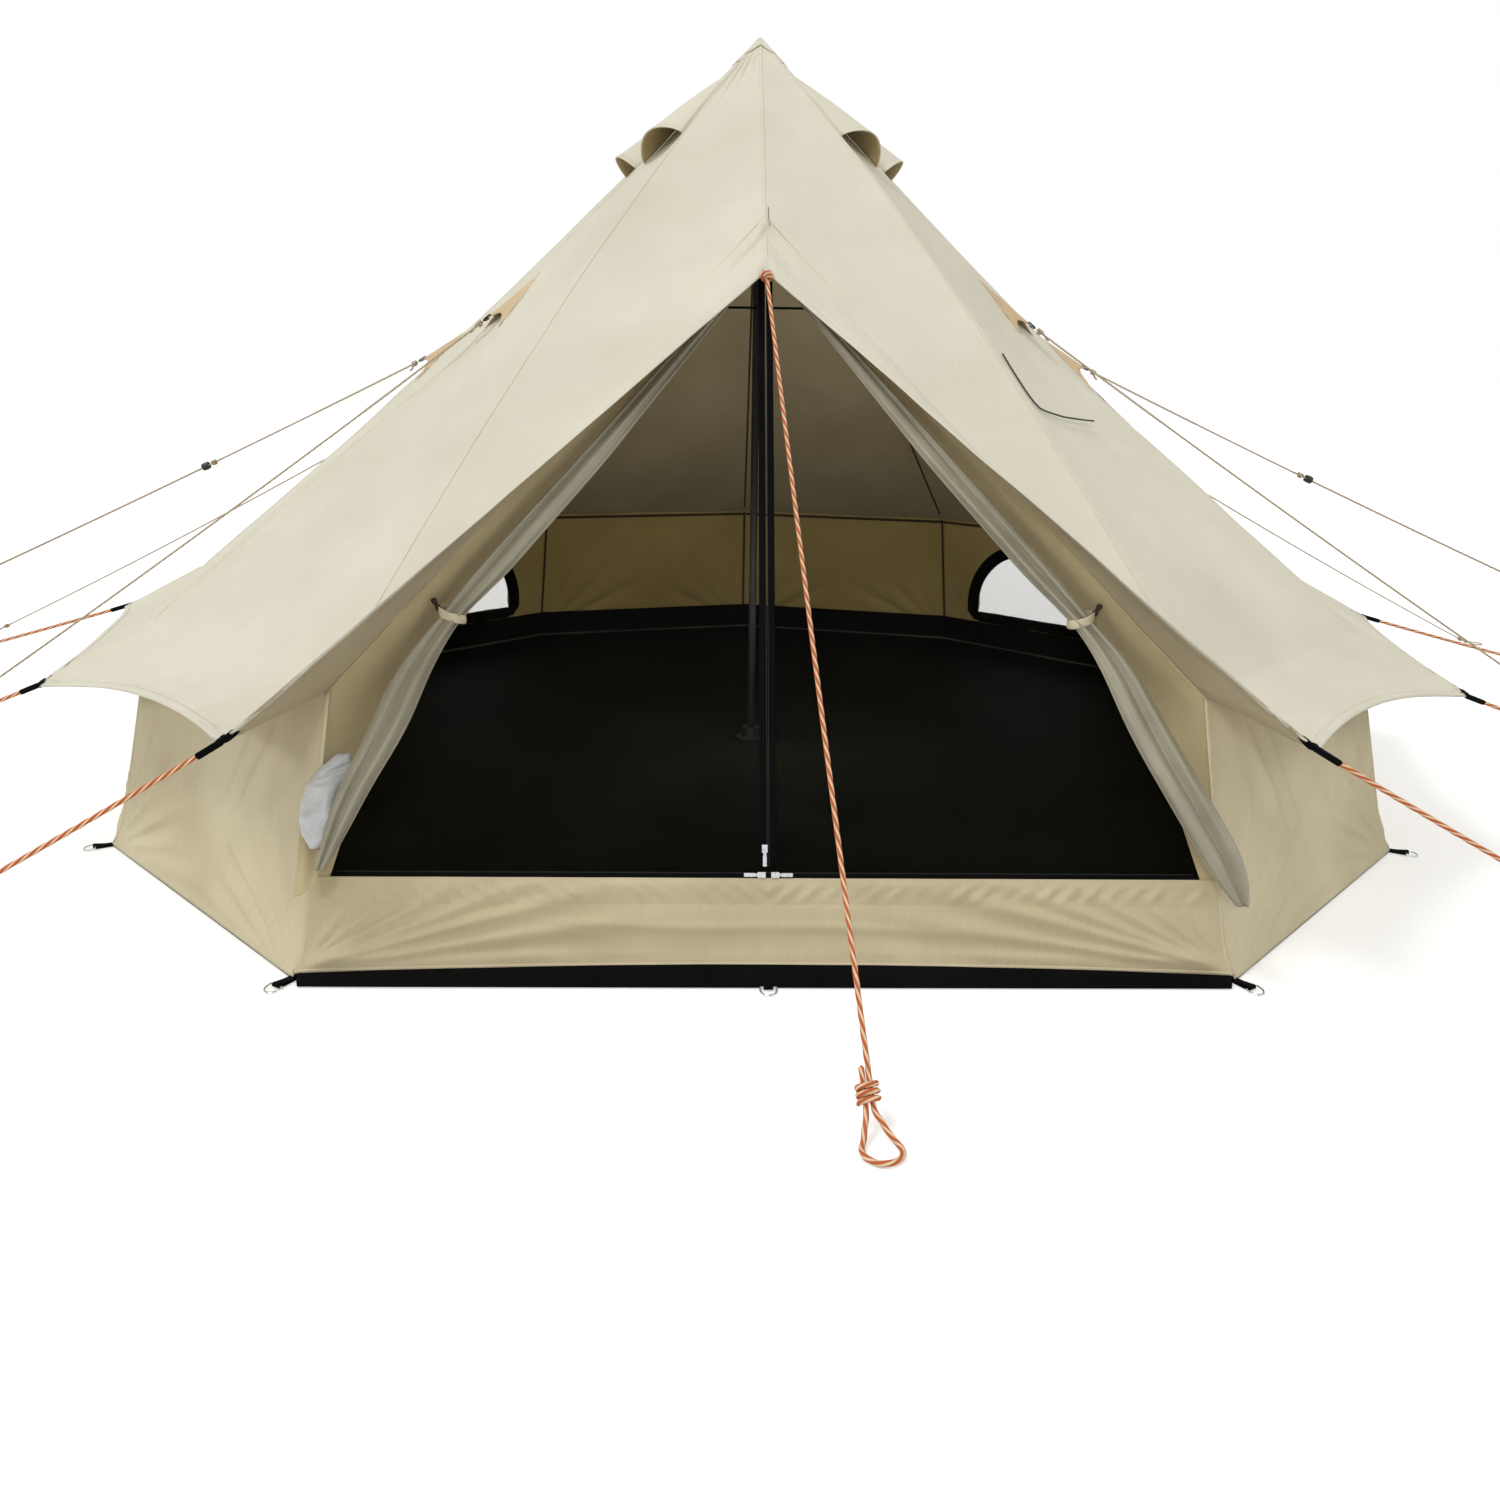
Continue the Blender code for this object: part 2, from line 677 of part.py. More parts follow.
def make_curtain(name, side):
    rows = []
    for share, out, forward, wide, deep, fold in ABOVE_TIE:
        z = TIE_HEIGHT + (MESH_PEAK_Z - TIE_HEIGHT) * share
        rows.append((curtain_middle(z, out, forward), wide, deep, fold))
    for rise in (NECK_HALF, -NECK_HALF):
        rows.append((neck + Vector((0, 0, rise)), NECK_RADIUS, NECK_RADIUS, 0.05))
    for share, out, forward, wide, deep, fold in BELOW_TIE:
        z = TIE_HEIGHT + (CURTAIN_FOOT - TIE_HEIGHT) * share
        rows.append((curtain_middle(z, out, forward), wide, deep, fold))
    rings = []
    for middle, wide, deep, fold in rows:
        ring = []
        for k in range(CURTAIN_SIDES):
            turn = 2 * math.pi * k / CURTAIN_SIDES
            bulge = 1 + fold * math.cos(5 * turn)
            x = middle.x + wide * bulge * math.cos(turn)
            ring.append((side * x, middle.y + deep * bulge * math.sin(turn), middle.z))
        rings.append(ring)
    return loft(name, rings, SILVER_CLOTH)


def make_tieback(name, side):
    bpy.ops.mesh.primitive_torus_add(
        major_segments=24, minor_segments=6, major_radius=NECK_RADIUS + 0.008, minor_radius=0.006
    )
    band = bpy.context.object
    band.name = name
    band.data.name = name
    for held in list(band.users_collection):
        held.objects.unlink(band)
    tent.objects.link(band)
    band.data.materials.append(TAN)
    band.location = (side * neck.x, neck.y, neck.z)
    ahead = Matrix.Rotation(math.radians(-24 if side > 0 else 26.4), 4, "Z")
    lie = ahead @ Matrix.Translation((side * 0.0565, 0, 0)) @ Matrix.Rotation(math.pi / 2, 4, "Y")
    toggle = cylinder("toggle_" + name, 0.0065, 0.042, lie, BLACK_WEB, 10, tools)
    toggle.parent = band
    boolean(band, helper(toggle), "UNION")
    return band


for side, label in ((-1, "left"), (1, "right")):
    make_curtain("curtain_" + label, side)
    make_tieback("tieback_" + label, side)


# Groundsheet: a flat floor, and the lip that stands round it against the walls
def make_floor():
    outline = [polar(a, SHEET_RADIUS - LIP_SEAM, 0.0).xy[:] for a in sorted(RING_ANGLES)]
    return plate("groundsheet", [outline], SHEET_THICK, Matrix.Translation((0, 0, SHEET_THICK / 2)), BLACK_SHEET)


def make_lip():
    angles = sorted(RING_ANGLES)
    rows = [
        [polar(a, SHEET_RADIUS, 0.0) for a in angles],
        [polar(a, SHEET_RADIUS, HEM_HEIGHT) for a in angles],
        [polar(a, wall_radius(LIP_HEIGHT) - LIP_BACK, LIP_HEIGHT) for a in angles],
    ]
    count = len(angles)
    points = [p for row in rows for p in row]
    faces = []
    for row in range(2):
        for c in range(count):
            nxt = (c + 1) % count
            faces.append((row * count + c, row * count + nxt, (row + 1) * count + nxt, (row + 1) * count + c))
    return solidify(open_surface("floor_lip", points, faces, BLACK_SHEET), SHEET_THICK, -1.0)


make_floor()
make_lip()


# Base webbing: a flat band under the walls' hem, a strap loop at each corner and, along the door, a
# flat apron with a welt that leans from its front edge up under the sill
front_reach = BASE_RADIUS * math.cos(math.radians(30))
straps = [(polar(a, BASE_RADIUS, 0.0), polar(a, 1.0, 0.0)) for a in sorted(RING_ANGLES)]
straps.insert(5, (Vector((0, -front_reach, 0)), Vector((0, -1, 0))))


def make_webbing():
    outer = []
    half = STRAP_WIDTH / 2
    for place, out in straps:
        along = Vector((-out.y, out.x, 0))
        for offset, reach in ((-half, -0.003), (-half, STRAP_REACH), (half, STRAP_REACH), (half, -0.003)):
            corner = place + along * offset + out * reach
            outer.append((corner.x, corner.y))
    inner = [polar(a, BASE_RADIUS - BAND_WIDTH, 0.0).xy[:] for a in sorted(RING_ANGLES)]
    band = plate(
        "base_webbing", [outer, inner], BAND_THICK, Matrix.Translation((0, 0, BAND_THICK / 2)), BLACK_WEB
    )
    apron_size = (THRESHOLD, APRON_REACH + APRON_LAP, BAND_THICK - 0.0006)
    apron_place = Matrix.Translation((0, -front_reach - (APRON_REACH - APRON_LAP) / 2, BAND_THICK / 2))
    boolean(band, helper(box("apron", apron_size, apron_place, BLACK_WEB, tools)), "UNION")
    front = Vector((0, -front_reach - APRON_REACH, BAND_THICK))
    sill_middle = wall_corner(0, SILL_FOOT).y * math.cos(math.radians(30)) - CLEAR - WALL_CLOTH / 2
    back = Vector((0, sill_middle, SILL_FOOT - CLEAR / 2 - WELT_THICK / 2))
    lean = Matrix.Rotation(-math.atan2(back.y - front.y, back.z - front.z), 4, "X")
    welt_place = Matrix.Translation((front + back) / 2) @ lean
    welt_size = (THRESHOLD, WELT_THICK, (back - front).length)
    boolean(band, helper(box("welt", welt_size, welt_place, BLACK_WEB, tools)), "UNION")
    for index, (place, out) in enumerate(straps):
        bpy.ops.mesh.primitive_torus_add(
            major_segments=10, minor_segments=6, major_radius=0.0042, minor_radius=0.0014
        )
        sleeve = bpy.context.object
        for held in list(sleeve.users_collection):
            held.objects.unlink(sleeve)
        tools.objects.link(sleeve)
        sleeve.name = "sleeve_" + str(index)
        along = Vector((-out.y, out.x, 0))
        turn = Matrix((out, Vector((0, 0, 1)), along)).transposed().to_4x4()
        long = Matrix.Diagonal((1.0, 1.0, 7.0, 1.0))
        lift = place + out * (STRAP_REACH + 0.0025) + Vector((0, 0, SLEEVE_HEIGHT))
        sleeve.data.transform(Matrix.Translation(lift) @ turn @ long)
        bm = bmesh.new()
        bm.from_mesh(sleeve.data)
        bmesh.ops.recalc_face_normals(bm, faces=bm.faces)
        bm.to_mesh(sleeve.data)
        bm.free()
        sleeve.data.materials.append(BLACK_WEB)
        boolean(band, helper(sleeve), "UNION")
    return band


make_webbing()


# D-rings, each with its straight bar in a strap loop and its bow resting on the ground
def make_ring(name, place, out):
    along = Vector((-out.y, out.x, 0))
    centre = place + out * (STRAP_REACH + 0.0025) + Vector((0, 0, SLEEVE_HEIGHT))
    reach = RING_LEG + RING_HALF
    drop = math.asin((SLEEVE_HEIGHT - RING_WIRE - 0.0003) / reach)
    lean = out * math.cos(drop) - Vector((0, 0, math.sin(drop)))
    path = [(-RING_HALF, 0.0), (RING_HALF, 0.0)]
    for k in range(9):
        turn = math.pi * k / 8
        path.append((RING_HALF * math.cos(turn), RING_LEG + RING_HALF * math.sin(turn)))
    points = [along * a + lean * b for a, b in path]
    ring = tube(name, points, RING_WIRE, STEEL, closed=True)
    ring.location = centre
    return ring


for place, out in straps:
    angle = round(math.degrees(math.atan2(place.x, -place.y)))
    if angle == 0:
        label = "front"
    elif abs(angle) == 180:
        label = "back"
    else:
        label = ("left" if angle < 0 else "right") + str(abs(angle))
    make_ring("ring_" + label, place, out)


# Centre pole
floor_top = SHEET_THICK + 0.0004
turned(
    "pole_foot",
    [
        (0.0, 0.014),
        (POLE_RADIUS + 0.0006, 0.014),
        (POLE_RADIUS + 0.0006, 0.048),
        (0.030, 0.048),
        (0.036, 0.018),
        (0.050, 0.013),
        (0.050, floor_top),
        (0.0, floor_top),
    ],
    BLACK_STEEL,
)
low, high = 0.0144, POLE_JOIN - 0.0002
cylinder("pole_lower", POLE_RADIUS, high - low, Matrix.Translation((0, 0, (low + high) / 2)), BLACK_STEEL)
low, high = POLE_JOIN + 0.0002, POLE_TOP - TIP_HEIGHT - 0.0004
cylinder("pole_upper", POLE_RADIUS, high - low, Matrix.Translation((0, 0, (low + high) / 2)), BLACK_STEEL)
turned(
    "pole_tip",
    [
        (0.0, POLE_TOP),
        (0.005, POLE_TOP),
        (0.034, POLE_TOP - TIP_CONE),
        (0.034, POLE_TOP - TIP_HEIGHT),
        (0.0, POLE_TOP - TIP_HEIGHT),
    ],
    BLACK_STEEL,
)


# Guy ropes, each from its tip or gusset to the ground, where it ends in a loop
PEGS = {
    "eave30": {-1: (-2.02, -1.89), 1: (2.06, -1.92)},
    "eave60": {-1: (-3.02, -0.81), 1: (3.20, -0.86)},
    "eave90": {-1: (-3.81, 0.03), 1: (4.03, 0.03)},
    "upper60": {-1: (-2.68, -0.87), 1: (2.83, -0.92)},
    "upper90": {-1: (-3.84, -0.12), 1: (4.04, -0.12)},
    "upper120": {-1: (-3.58, 1.67), 1: (3.56, 1.66)},
}


ROPE_START = {
    "upper60": {-1: 0.0048, 1: 0.0068},
    "upper90": {-1: 0.0056, 1: 0.0056},
    "upper120": {-1: 0.0056, 1: 0.0056},
}


def rope_run(tip, peg):
    return (Vector((peg[0], peg[1], 0)) - tip).normalized()


def rope_route(start, peg, radius, sag=0.008, doubled=None):
    """Points from the tip to the ground with a slight sag, then round the loop; doubled returns uphill."""
    end = Vector((peg[0], peg[1], radius + 0.0004))
    run = end - start
    flat = Vector((run.x, run.y, 0)).normalized()
    points = []
    for k in range(6):
        t = k / 5
        drop = sag * run.length * 4 * t * (1 - t)
        points.append(start + run * t - Vector((0, 0, drop)))
    beside = Vector((-flat.y, flat.x, 0))
    middle = end + flat * LOOP_RADIUS
    for k in range(7):
        turn = math.radians(130 - 260 * k / 6)
        points.append(middle + LOOP_RADIUS * (flat * math.cos(turn) + beside * math.sin(turn)))
    if doubled:
        for k in range(5):
            t = 1 - (1 - doubled) * (k + 0.15) / 4.15
            drop = sag * run.length * 4 * t * (1 - t)
            apart = 0.0065 + 0.030 * max(0.0, t - 0.43) / 0.57
            points.append(start + run * t - Vector((0, 0, drop)) - beside * apart)
    return points


FRONT_PEG = (0.165, -2.281)
tube(
    "rope_front",
    rope_route(polar(0, PORCH_EDGE_RADIUS + 0.007, PORCH_EDGE_HEIGHT - 0.002), FRONT_PEG, THICK_ROPE / 2),
    THICK_ROPE / 2,
    ROPE,
)
for side, label in ((-1, "left"), (1, "right")):
    for name, angle, height, gap in (
        ("eave30", 30, FRONT_EAVE_HEIGHT, 0.0038),
        ("eave60", 60, EAVE_HEIGHT, 0.0018),
        ("eave90", 90, EAVE_HEIGHT, 0.0009),
    ):
        tip = polar(side * angle, EAVE_RADIUS, height)
        start = tip + rope_run(tip, PEGS[name][side]) * gap
        route = rope_route(start, PEGS[name][side], THICK_ROPE / 2)
        tube("rope_" + name + "_" + label, route, THICK_ROPE / 2, ROPE, resolution=2)
    for name in GUSSET_TIPS:
        tip = gusset_tip(name, side)
        peg = PEGS[name][side]
        start = tip + rope_run(tip, peg) * ROPE_START[name][side]
        back = 0.24 if name == "upper90" else None
        route = rope_route(start, peg, THIN_ROPE / 2, doubled=back)
        tube("rope_" + name + "_" + label, route, THIN_ROPE / 2, ROPE, resolution=2)


# Loose cord: it hangs from the front gusset on the right and lies on the roof panel below it
TAIL_ROUTE = [
    # columns across the panel, share of the way from the row at 0.6 to the row at 0.7
    (0.45, 0.197),
    (0.34, 0.420),
    (0.29, 0.719),
    (0.35, 0.870),
    (0.47, 0.950),
    (0.97, 0.965),
    (1.83, 0.970),
    (3.13, 0.923),
    (4.03, 0.880),
]


def tail_point(column, share):
    return roof_point(1, column, 0.6).lerp(roof_point(1, column, 0.7), share)


def make_tail():
    points = []
    for column, share in TAIL_ROUTE:
        here = tail_point(column, share)
        across = tail_point(column + 0.2, share) - here
        down = tail_point(column, share + 0.02) - here
        normal = down.cross(across).normalized()
        points.append(here + normal * (TAIL_CORD / 2 + 0.0010))
    return tube("cord_tail", points, TAIL_CORD / 2, DARK_CORD, resolution=2)


make_tail()


# Runners: a short barrel round both strands of each doubled rope
def make_runner(name, side):
    tip = gusset_tip("upper90", side)
    peg = PEGS["upper90"][side]
    start = tip + rope_run(tip, peg) * ROPE_START["upper90"][side]
    end = Vector((peg[0], peg[1], THIN_ROPE / 2 + 0.0004))
    run = end - start
    flat = Vector((run.x, run.y, 0)).normalized()
    beside = Vector((-flat.y, flat.x, 0))
    route = rope_route(start, peg, THIN_ROPE / 2)
    centre = route[1].lerp(route[2], 0.30) - beside * 0.0034
    slope = route[2] - route[1]
    bpy.ops.mesh.primitive_torus_add(
        major_segments=14, minor_segments=6, major_radius=0.0102, minor_radius=0.003
    )
    barrel = bpy.context.object
    barrel.name = name
    barrel.data.name = name
    for held in list(barrel.users_collection):
        held.objects.unlink(barrel)
    tent.objects.link(barrel)
    barrel.data.transform(Matrix.Diagonal((1, 1, 4.5, 1)))
    barrel.data.materials.append(BLACK_WEB)
    barrel.rotation_mode = "QUATERNION"
    barrel.rotation_quaternion = slope.to_track_quat("Z", "Y")
    barrel.location = centre


make_runner("runner_left", -1)
make_runner("runner_right", 1)


for made in tent.objects:
    if made.type == "MESH" and made.name.startswith(("pole", "ring", "rope", "runner", "tieback", "curtain")):
        made.data.shade_smooth()
        made.data.set_sharp_from_angle(angle=math.radians(40))
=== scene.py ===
# %% [markdown]
# # A bell tent, piece by piece
#
# This lesson dresses a measured model of a pitched bell tent: a twelve-sided cotton roof on one pole, low
# walls, a mesh door with its curtains tied back, and thirteen guy ropes. The frame gives every solid in
# metres, with the origin under the pole and the door towards -Y. Rigid parts keep their solids and get
# better finishes. Cloth and rope are made again here as thin surfaces, because that is what they are.

import bmesh
import bpy
import numpy as np
from mathutils import Matrix


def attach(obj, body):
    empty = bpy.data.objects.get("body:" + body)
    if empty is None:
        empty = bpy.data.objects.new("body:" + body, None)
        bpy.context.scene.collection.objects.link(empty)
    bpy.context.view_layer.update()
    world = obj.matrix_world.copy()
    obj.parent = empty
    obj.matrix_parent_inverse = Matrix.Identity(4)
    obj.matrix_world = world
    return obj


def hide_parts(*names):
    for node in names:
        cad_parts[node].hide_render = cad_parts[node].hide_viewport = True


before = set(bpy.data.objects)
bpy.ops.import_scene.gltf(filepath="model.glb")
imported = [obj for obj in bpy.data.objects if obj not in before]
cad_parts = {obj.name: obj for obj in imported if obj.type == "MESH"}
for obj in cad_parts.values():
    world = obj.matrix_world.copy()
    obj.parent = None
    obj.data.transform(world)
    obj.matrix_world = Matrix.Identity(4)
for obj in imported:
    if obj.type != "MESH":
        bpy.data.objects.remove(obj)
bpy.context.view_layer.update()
scene = bpy.context.scene

# %% [markdown]
# ## The camera
#
# The picture was taken from just in front of the door, at chest height, looking slightly down. A tent this
# close needs a wide lens. The lens is shifted rather than tilted further, which keeps the pole upright.

# %% Camera
YAW, PITCH, ROLL = np.radians([-1.277, 9.126, 0.759])
EYE = (-0.1032, -4.1618, 1.2718)
# The lens's distance and the picture's side in pixels, and the width of the film in millimetres
FOCAL_PIXELS, SIDE_PIXELS, FILM = 1228.7, 1500, 36.0
forward = np.array([-np.cos(PITCH) * np.sin(YAW), np.cos(PITCH) * np.cos(YAW), -np.sin(PITCH)])
level = np.array([np.cos(YAW), np.sin(YAW), 0.0])
upright = np.cross(level, forward)
camera_data = bpy.data.cameras.new("camera")
camera_data.sensor_width = FILM
camera_data.lens = FOCAL_PIXELS / SIDE_PIXELS * FILM
camera_data.shift_y = -0.12
camera_data.clip_end = 100.0
camera = bpy.data.objects.new("camera", camera_data)
pose = np.eye(4)
pose[:3, 0] = np.cos(ROLL) * level + np.sin(ROLL) * upright
pose[:3, 1] = np.cos(ROLL) * upright - np.sin(ROLL) * level
pose[:3, 2] = -forward
pose[:3, 3] = EYE
camera.matrix_world = Matrix(pose)
scene.collection.objects.link(camera)
scene.camera = camera
print("lens", round(camera_data.lens, 2), "mm")

# %% [markdown]
# ## Sky and floor
#
# Cotton looks best in soft light from above, and the sky gives about half of it. The floor is pale and takes
# the shadow; for the camera it is lifted to white, so the picture has a white ground. It throws back less
# light than it shows, because a bright bounce from below would wash out the folds of the walls.

# %% Sky and floor
scene.view_settings.view_transform = "Standard"


def node(tree, kind, **values):
    """Adds a node and sets its inputs by name."""
    made = tree.nodes.new(kind)
    for label, value in values.items():
        made.inputs[label.replace("_", " ")].default_value = value
    return made


def worked_out(tree, operation, *sources):
    """Adds a math node, whose inputs are fixed numbers or other nodes' outputs, and returns its output."""
    made = tree.nodes.new("ShaderNodeMath")
    made.operation = operation
    for place, source in zip(made.inputs, sources):
        if isinstance(source, float):
            place.default_value = source
        else:
            tree.links.new(source, place)
    return made.outputs[0]


def lit_for_camera(tree, plain, lifted):
    """Returns a mix shader: what the camera and clear reflections meet is lifted, other rays see plain."""
    path = tree.nodes.new("ShaderNodeLightPath").outputs
    clear = worked_out(tree, "MAXIMUM", path["Is Camera Ray"], path["Is Glossy Ray"])
    clear = worked_out(tree, "MAXIMUM", clear, path["Is Transmission Ray"])
    mix = tree.nodes.new("ShaderNodeMixShader")
    for place, source in zip(mix.inputs, (clear, plain.outputs[0], lifted.outputs[0])):
        tree.links.new(source, place)
    return mix


SKY_STRENGTH, FLOOR_GLOW = 0.54, 0.42
world = bpy.data.worlds.new("studio")
scene.world = world
world.use_nodes = True
tree = world.node_tree
tree.nodes.clear()
sky = node(tree, "ShaderNodeBackground", Color=(1.0, 0.985, 0.96, 1.0), Strength=SKY_STRENGTH)
white = node(tree, "ShaderNodeBackground", Color=(1.0, 1.0, 1.0, 1.0), Strength=1.0)
out = tree.nodes.new("ShaderNodeOutputWorld")
tree.links.new(lit_for_camera(tree, sky, white).outputs[0], out.inputs["Surface"])

floor_look = bpy.data.materials.new("studio_floor")
floor_look.use_nodes = True
tree = floor_look.node_tree
tree.nodes.clear()
ground = node(tree, "ShaderNodeBsdfDiffuse", Color=(0.78, 0.77, 0.74, 1.0))
paper = node(tree, "ShaderNodeBsdfDiffuse", Color=(0.80, 0.80, 0.79, 1.0))
glow = node(tree, "ShaderNodeEmission", Strength=FLOOR_GLOW)
lifted = tree.nodes.new("ShaderNodeAddShader")
tree.links.new(paper.outputs[0], lifted.inputs[0])
tree.links.new(glow.outputs[0], lifted.inputs[1])
out = tree.nodes.new("ShaderNodeOutputMaterial")
tree.links.new(lit_for_camera(tree, ground, lifted).outputs[0], out.inputs["Surface"])

floor_mesh = bpy.data.meshes.new("studio_floor")
FLOOR_HALF, FLOOR_DROP = 30, 0.001
corners = np.array([[-1, -1, 0], [1, -1, 0], [1, 1, 0], [-1, 1, 0]]) * FLOOR_HALF - [0, 0, FLOOR_DROP]
floor_mesh.from_pydata(corners.tolist(), [], [(0, 1, 2, 3)])
floor_mesh.materials.append(floor_look)
studio_floor = bpy.data.objects.new("studio_floor", floor_mesh)
scene.collection.objects.link(studio_floor)
print("sky strength:", SKY_STRENGTH, "floor glow:", FLOOR_GLOW)

# %% [markdown]
# ## Lamps
#
# A broad sun from the left gives the panels their shape. A narrower one from the front rakes over the folds
# of walls and sill, and a weak one from the right keeps the far side open. Daylight glows through real
# canvas; a soft lamp inside the tent stands for that glow.

# %% Lamps


def add_sun(name, towards, strength, softness):
    """A sun lamp whose light travels along towards; softness is the sun's width in degrees."""
    data = bpy.data.lights.new(name, "SUN")
    data.energy = strength
    data.angle = np.radians(softness)
    lamp = bpy.data.objects.new(name, data)
    z = -np.array(towards) / np.linalg.norm(towards)
    x = np.cross([0.0, 0.0, 1.0], z)
    x = x / np.linalg.norm(x)
    pose = np.eye(4)
    pose[:3, 0], pose[:3, 1], pose[:3, 2] = x, np.cross(z, x), z
    lamp.matrix_world = Matrix(pose)
    scene.collection.objects.link(lamp)


add_sun("key", (0.50, 0.12, -0.95), 1.04, 18)
add_sun("front", (0.24, 0.85, -0.40), 0.50, 10)
add_sun("fill", (-0.60, 0.15, -0.60), 0.34, 40)
INSIDE_WATTS = 29.0
inside_data = bpy.data.lights.new("inside", "POINT")
inside_data.energy = INSIDE_WATTS
inside_data.color = (1.0, 0.95, 0.84)
inside_data.shadow_soft_size = 0.4
inside = bpy.data.objects.new("inside", inside_data)
inside.location = (0.0, -0.25, 0.55)
inside.visible_camera = False
inside.visible_glossy = False
scene.collection.objects.link(inside)
print("lamps:", *(lamp.name for lamp in bpy.data.lights))

# %% [markdown]
# ## From arrays to meshes
#
# Every new piece below is a grid of points, worked out with numpy as whole arrays. One helper turns such a
# grid into quads. It also writes a UV map in metres, so that a weave has the same size on each piece.

# %% Helpers: grids to meshes


def polar(angle, radius, z):
    """A point at an angle in degrees round the pole, from the door towards +X, at a radius and a height."""
    turn = np.radians(angle)
    return np.stack(np.broadcast_arrays(radius * np.sin(turn), -radius * np.cos(turn), z), axis=-1)


def unit(v):
    """Vectors of length one along v."""
    return v / np.maximum(np.linalg.norm(v, axis=-1, keepdims=True), 1e-12)


def steps(count):
    """Even steps from 0 to 1."""
    return np.linspace(0, 1, count)


def lengths(points, axis):
    """Running length along an axis of a grid of points, starting from 0."""
    gaps = np.linalg.norm(np.diff(points, axis=axis), axis=-1)
    pad = [(0, 0)] * gaps.ndim
    pad[axis] = (1, 0)
    return np.cumsum(np.pad(gaps, pad), axis=axis)


def quads_of(grid):
    """The four corner indices of each cell of an index grid (sheets, rows, columns)."""
    corners = [grid[:, :-1, :-1], grid[:, :-1, 1:], grid[:, 1:, 1:], grid[:, 1:, :-1]]
    return np.stack(corners, axis=-1)


def surface(name, points, look, wrap=False, flip=False, uv=None, marks=None, weld=False):
    """One object from a grid of points (rows, columns, 3), or from several such sheets of one size.

    The UV map holds the running length along the rows and the columns, in metres, unless uv gives it.
    wrap joins the last column to the first, weld closes a row that has shrunk to one point, and marks are
    named numbers stored on each point.
    """
    points = np.asarray(points, dtype=float)
    sheets = points if points.ndim == 4 else points[None]
    count, rows, columns = sheets.shape[:3]
    grid = np.arange(count * rows * columns).reshape(count, rows, columns)
    ring = np.concatenate([sheets, sheets[:, :, :1]], axis=2) if wrap else sheets
    if uv is None:
        uv = np.stack([lengths(ring, 2), lengths(ring, 1)], axis=-1)
    else:
        uv = uv if uv.ndim == 4 else uv[None]
    if wrap:
        grid = np.concatenate([grid, grid[:, :, :1]], axis=2)
    faces = quads_of(grid).reshape(-1, 4)
    corners = np.stack([quads_of(uv[..., 0]), quads_of(uv[..., 1])], axis=-1).reshape(-1, 4, 2)
    if flip:
        faces, corners = faces[:, ::-1], corners[:, ::-1]
    mesh = bpy.data.meshes.new(name)
    mesh.from_pydata(sheets.reshape(-1, 3).tolist(), [], faces.tolist())
    mesh.uv_layers.new(name="cloth").data.foreach_set("uv", corners.ravel())
    for label, values in (marks or {}).items():
        layer = mesh.attributes.new(label, "FLOAT", "POINT")
        layer.data.foreach_set("value", np.ascontiguousarray(values, dtype=float).ravel())
    if weld:
        closed = bmesh.new()
        closed.from_mesh(mesh)
        bmesh.ops.remove_doubles(closed, verts=closed.verts, dist=1e-6)
        closed.to_mesh(mesh)
        closed.free()
    mesh.shade_smooth()
    mesh.materials.append(look)
    piece = bpy.data.objects.new(name, mesh)
    scene.collection.objects.link(piece)
    print(name, "faces:", len(faces))
    return piece


print("one metre from the pole towards the door:", polar(0, 1.0, 0.0))

# %% [markdown]
# ## Finishes
#
# A finish is a small tree of nodes round one principled shader. The same few steps come back in each: a new
# material, a ramp of tones and a bump. They are functions here, so each finish below is a short recipe.

# %% Helpers for node materials


def blank(name, roughness, metallic=0.0):
    """A new material with one principled shader; returns the material, its tree and the shader."""
    look = bpy.data.materials.new(name)
    look.use_nodes = True
    shader = look.node_tree.nodes["Principled BSDF"]
    shader.inputs["Roughness"].default_value = roughness
    shader.inputs["Metallic"].default_value = metallic
    return look, look.node_tree, shader


def linear(colour):
    """A colour that is given as it looks on screen, 0 to 255, as linear light."""
    c = np.array(colour) / 255
    return (*np.where(c <= 0.04045, c / 12.92, ((c + 0.055) / 1.055) ** 2.4), 1.0)


def tint(tree, shader, source, stops):
    """Colours the shader by a ramp over stops of (place, colour), fed by source."""
    made = tree.nodes.new("ShaderNodeValToRGB")
    stops = [(place, linear(colour)) for place, colour in stops]
    made.color_ramp.elements[0].position, made.color_ramp.elements[0].color = stops[0]
    made.color_ramp.elements[1].position, made.color_ramp.elements[1].color = stops[-1]
    for place, colour in stops[1:-1]:
        made.color_ramp.elements.new(place).color = colour
    tree.links.new(source, made.inputs["Fac"])
    tree.links.new(made.outputs["Color"], shader.inputs["Base Color"])


def emboss(tree, shader, height, strength, distance):
    """Gives the shader a bump whose height is an output of another node."""
    relief = node(tree, "ShaderNodeBump", Strength=strength, Distance=distance)
    tree.links.new(height, relief.inputs["Height"])
    tree.links.new(relief.outputs[0], shader.inputs["Normal"])


print("middle grey on screen, as light:", round(float(linear((128, 128, 128))[0]), 3))

# %% [markdown]
# ## Canvas
#
# Cotton canvas is a plain weave with slubs, slightly uneven in tone. Two crossed wave textures on the UV map
# give the threads, and noise on the object's own coordinates gives the unevenness. Each cloth is one call of
# one function, so that the cream roof, the tan walls and the silver curtains share the same threads.

# %% Woven cloth
# The repeat of a wave texture whose scale is 1
WAVE_REPEAT = 0.314


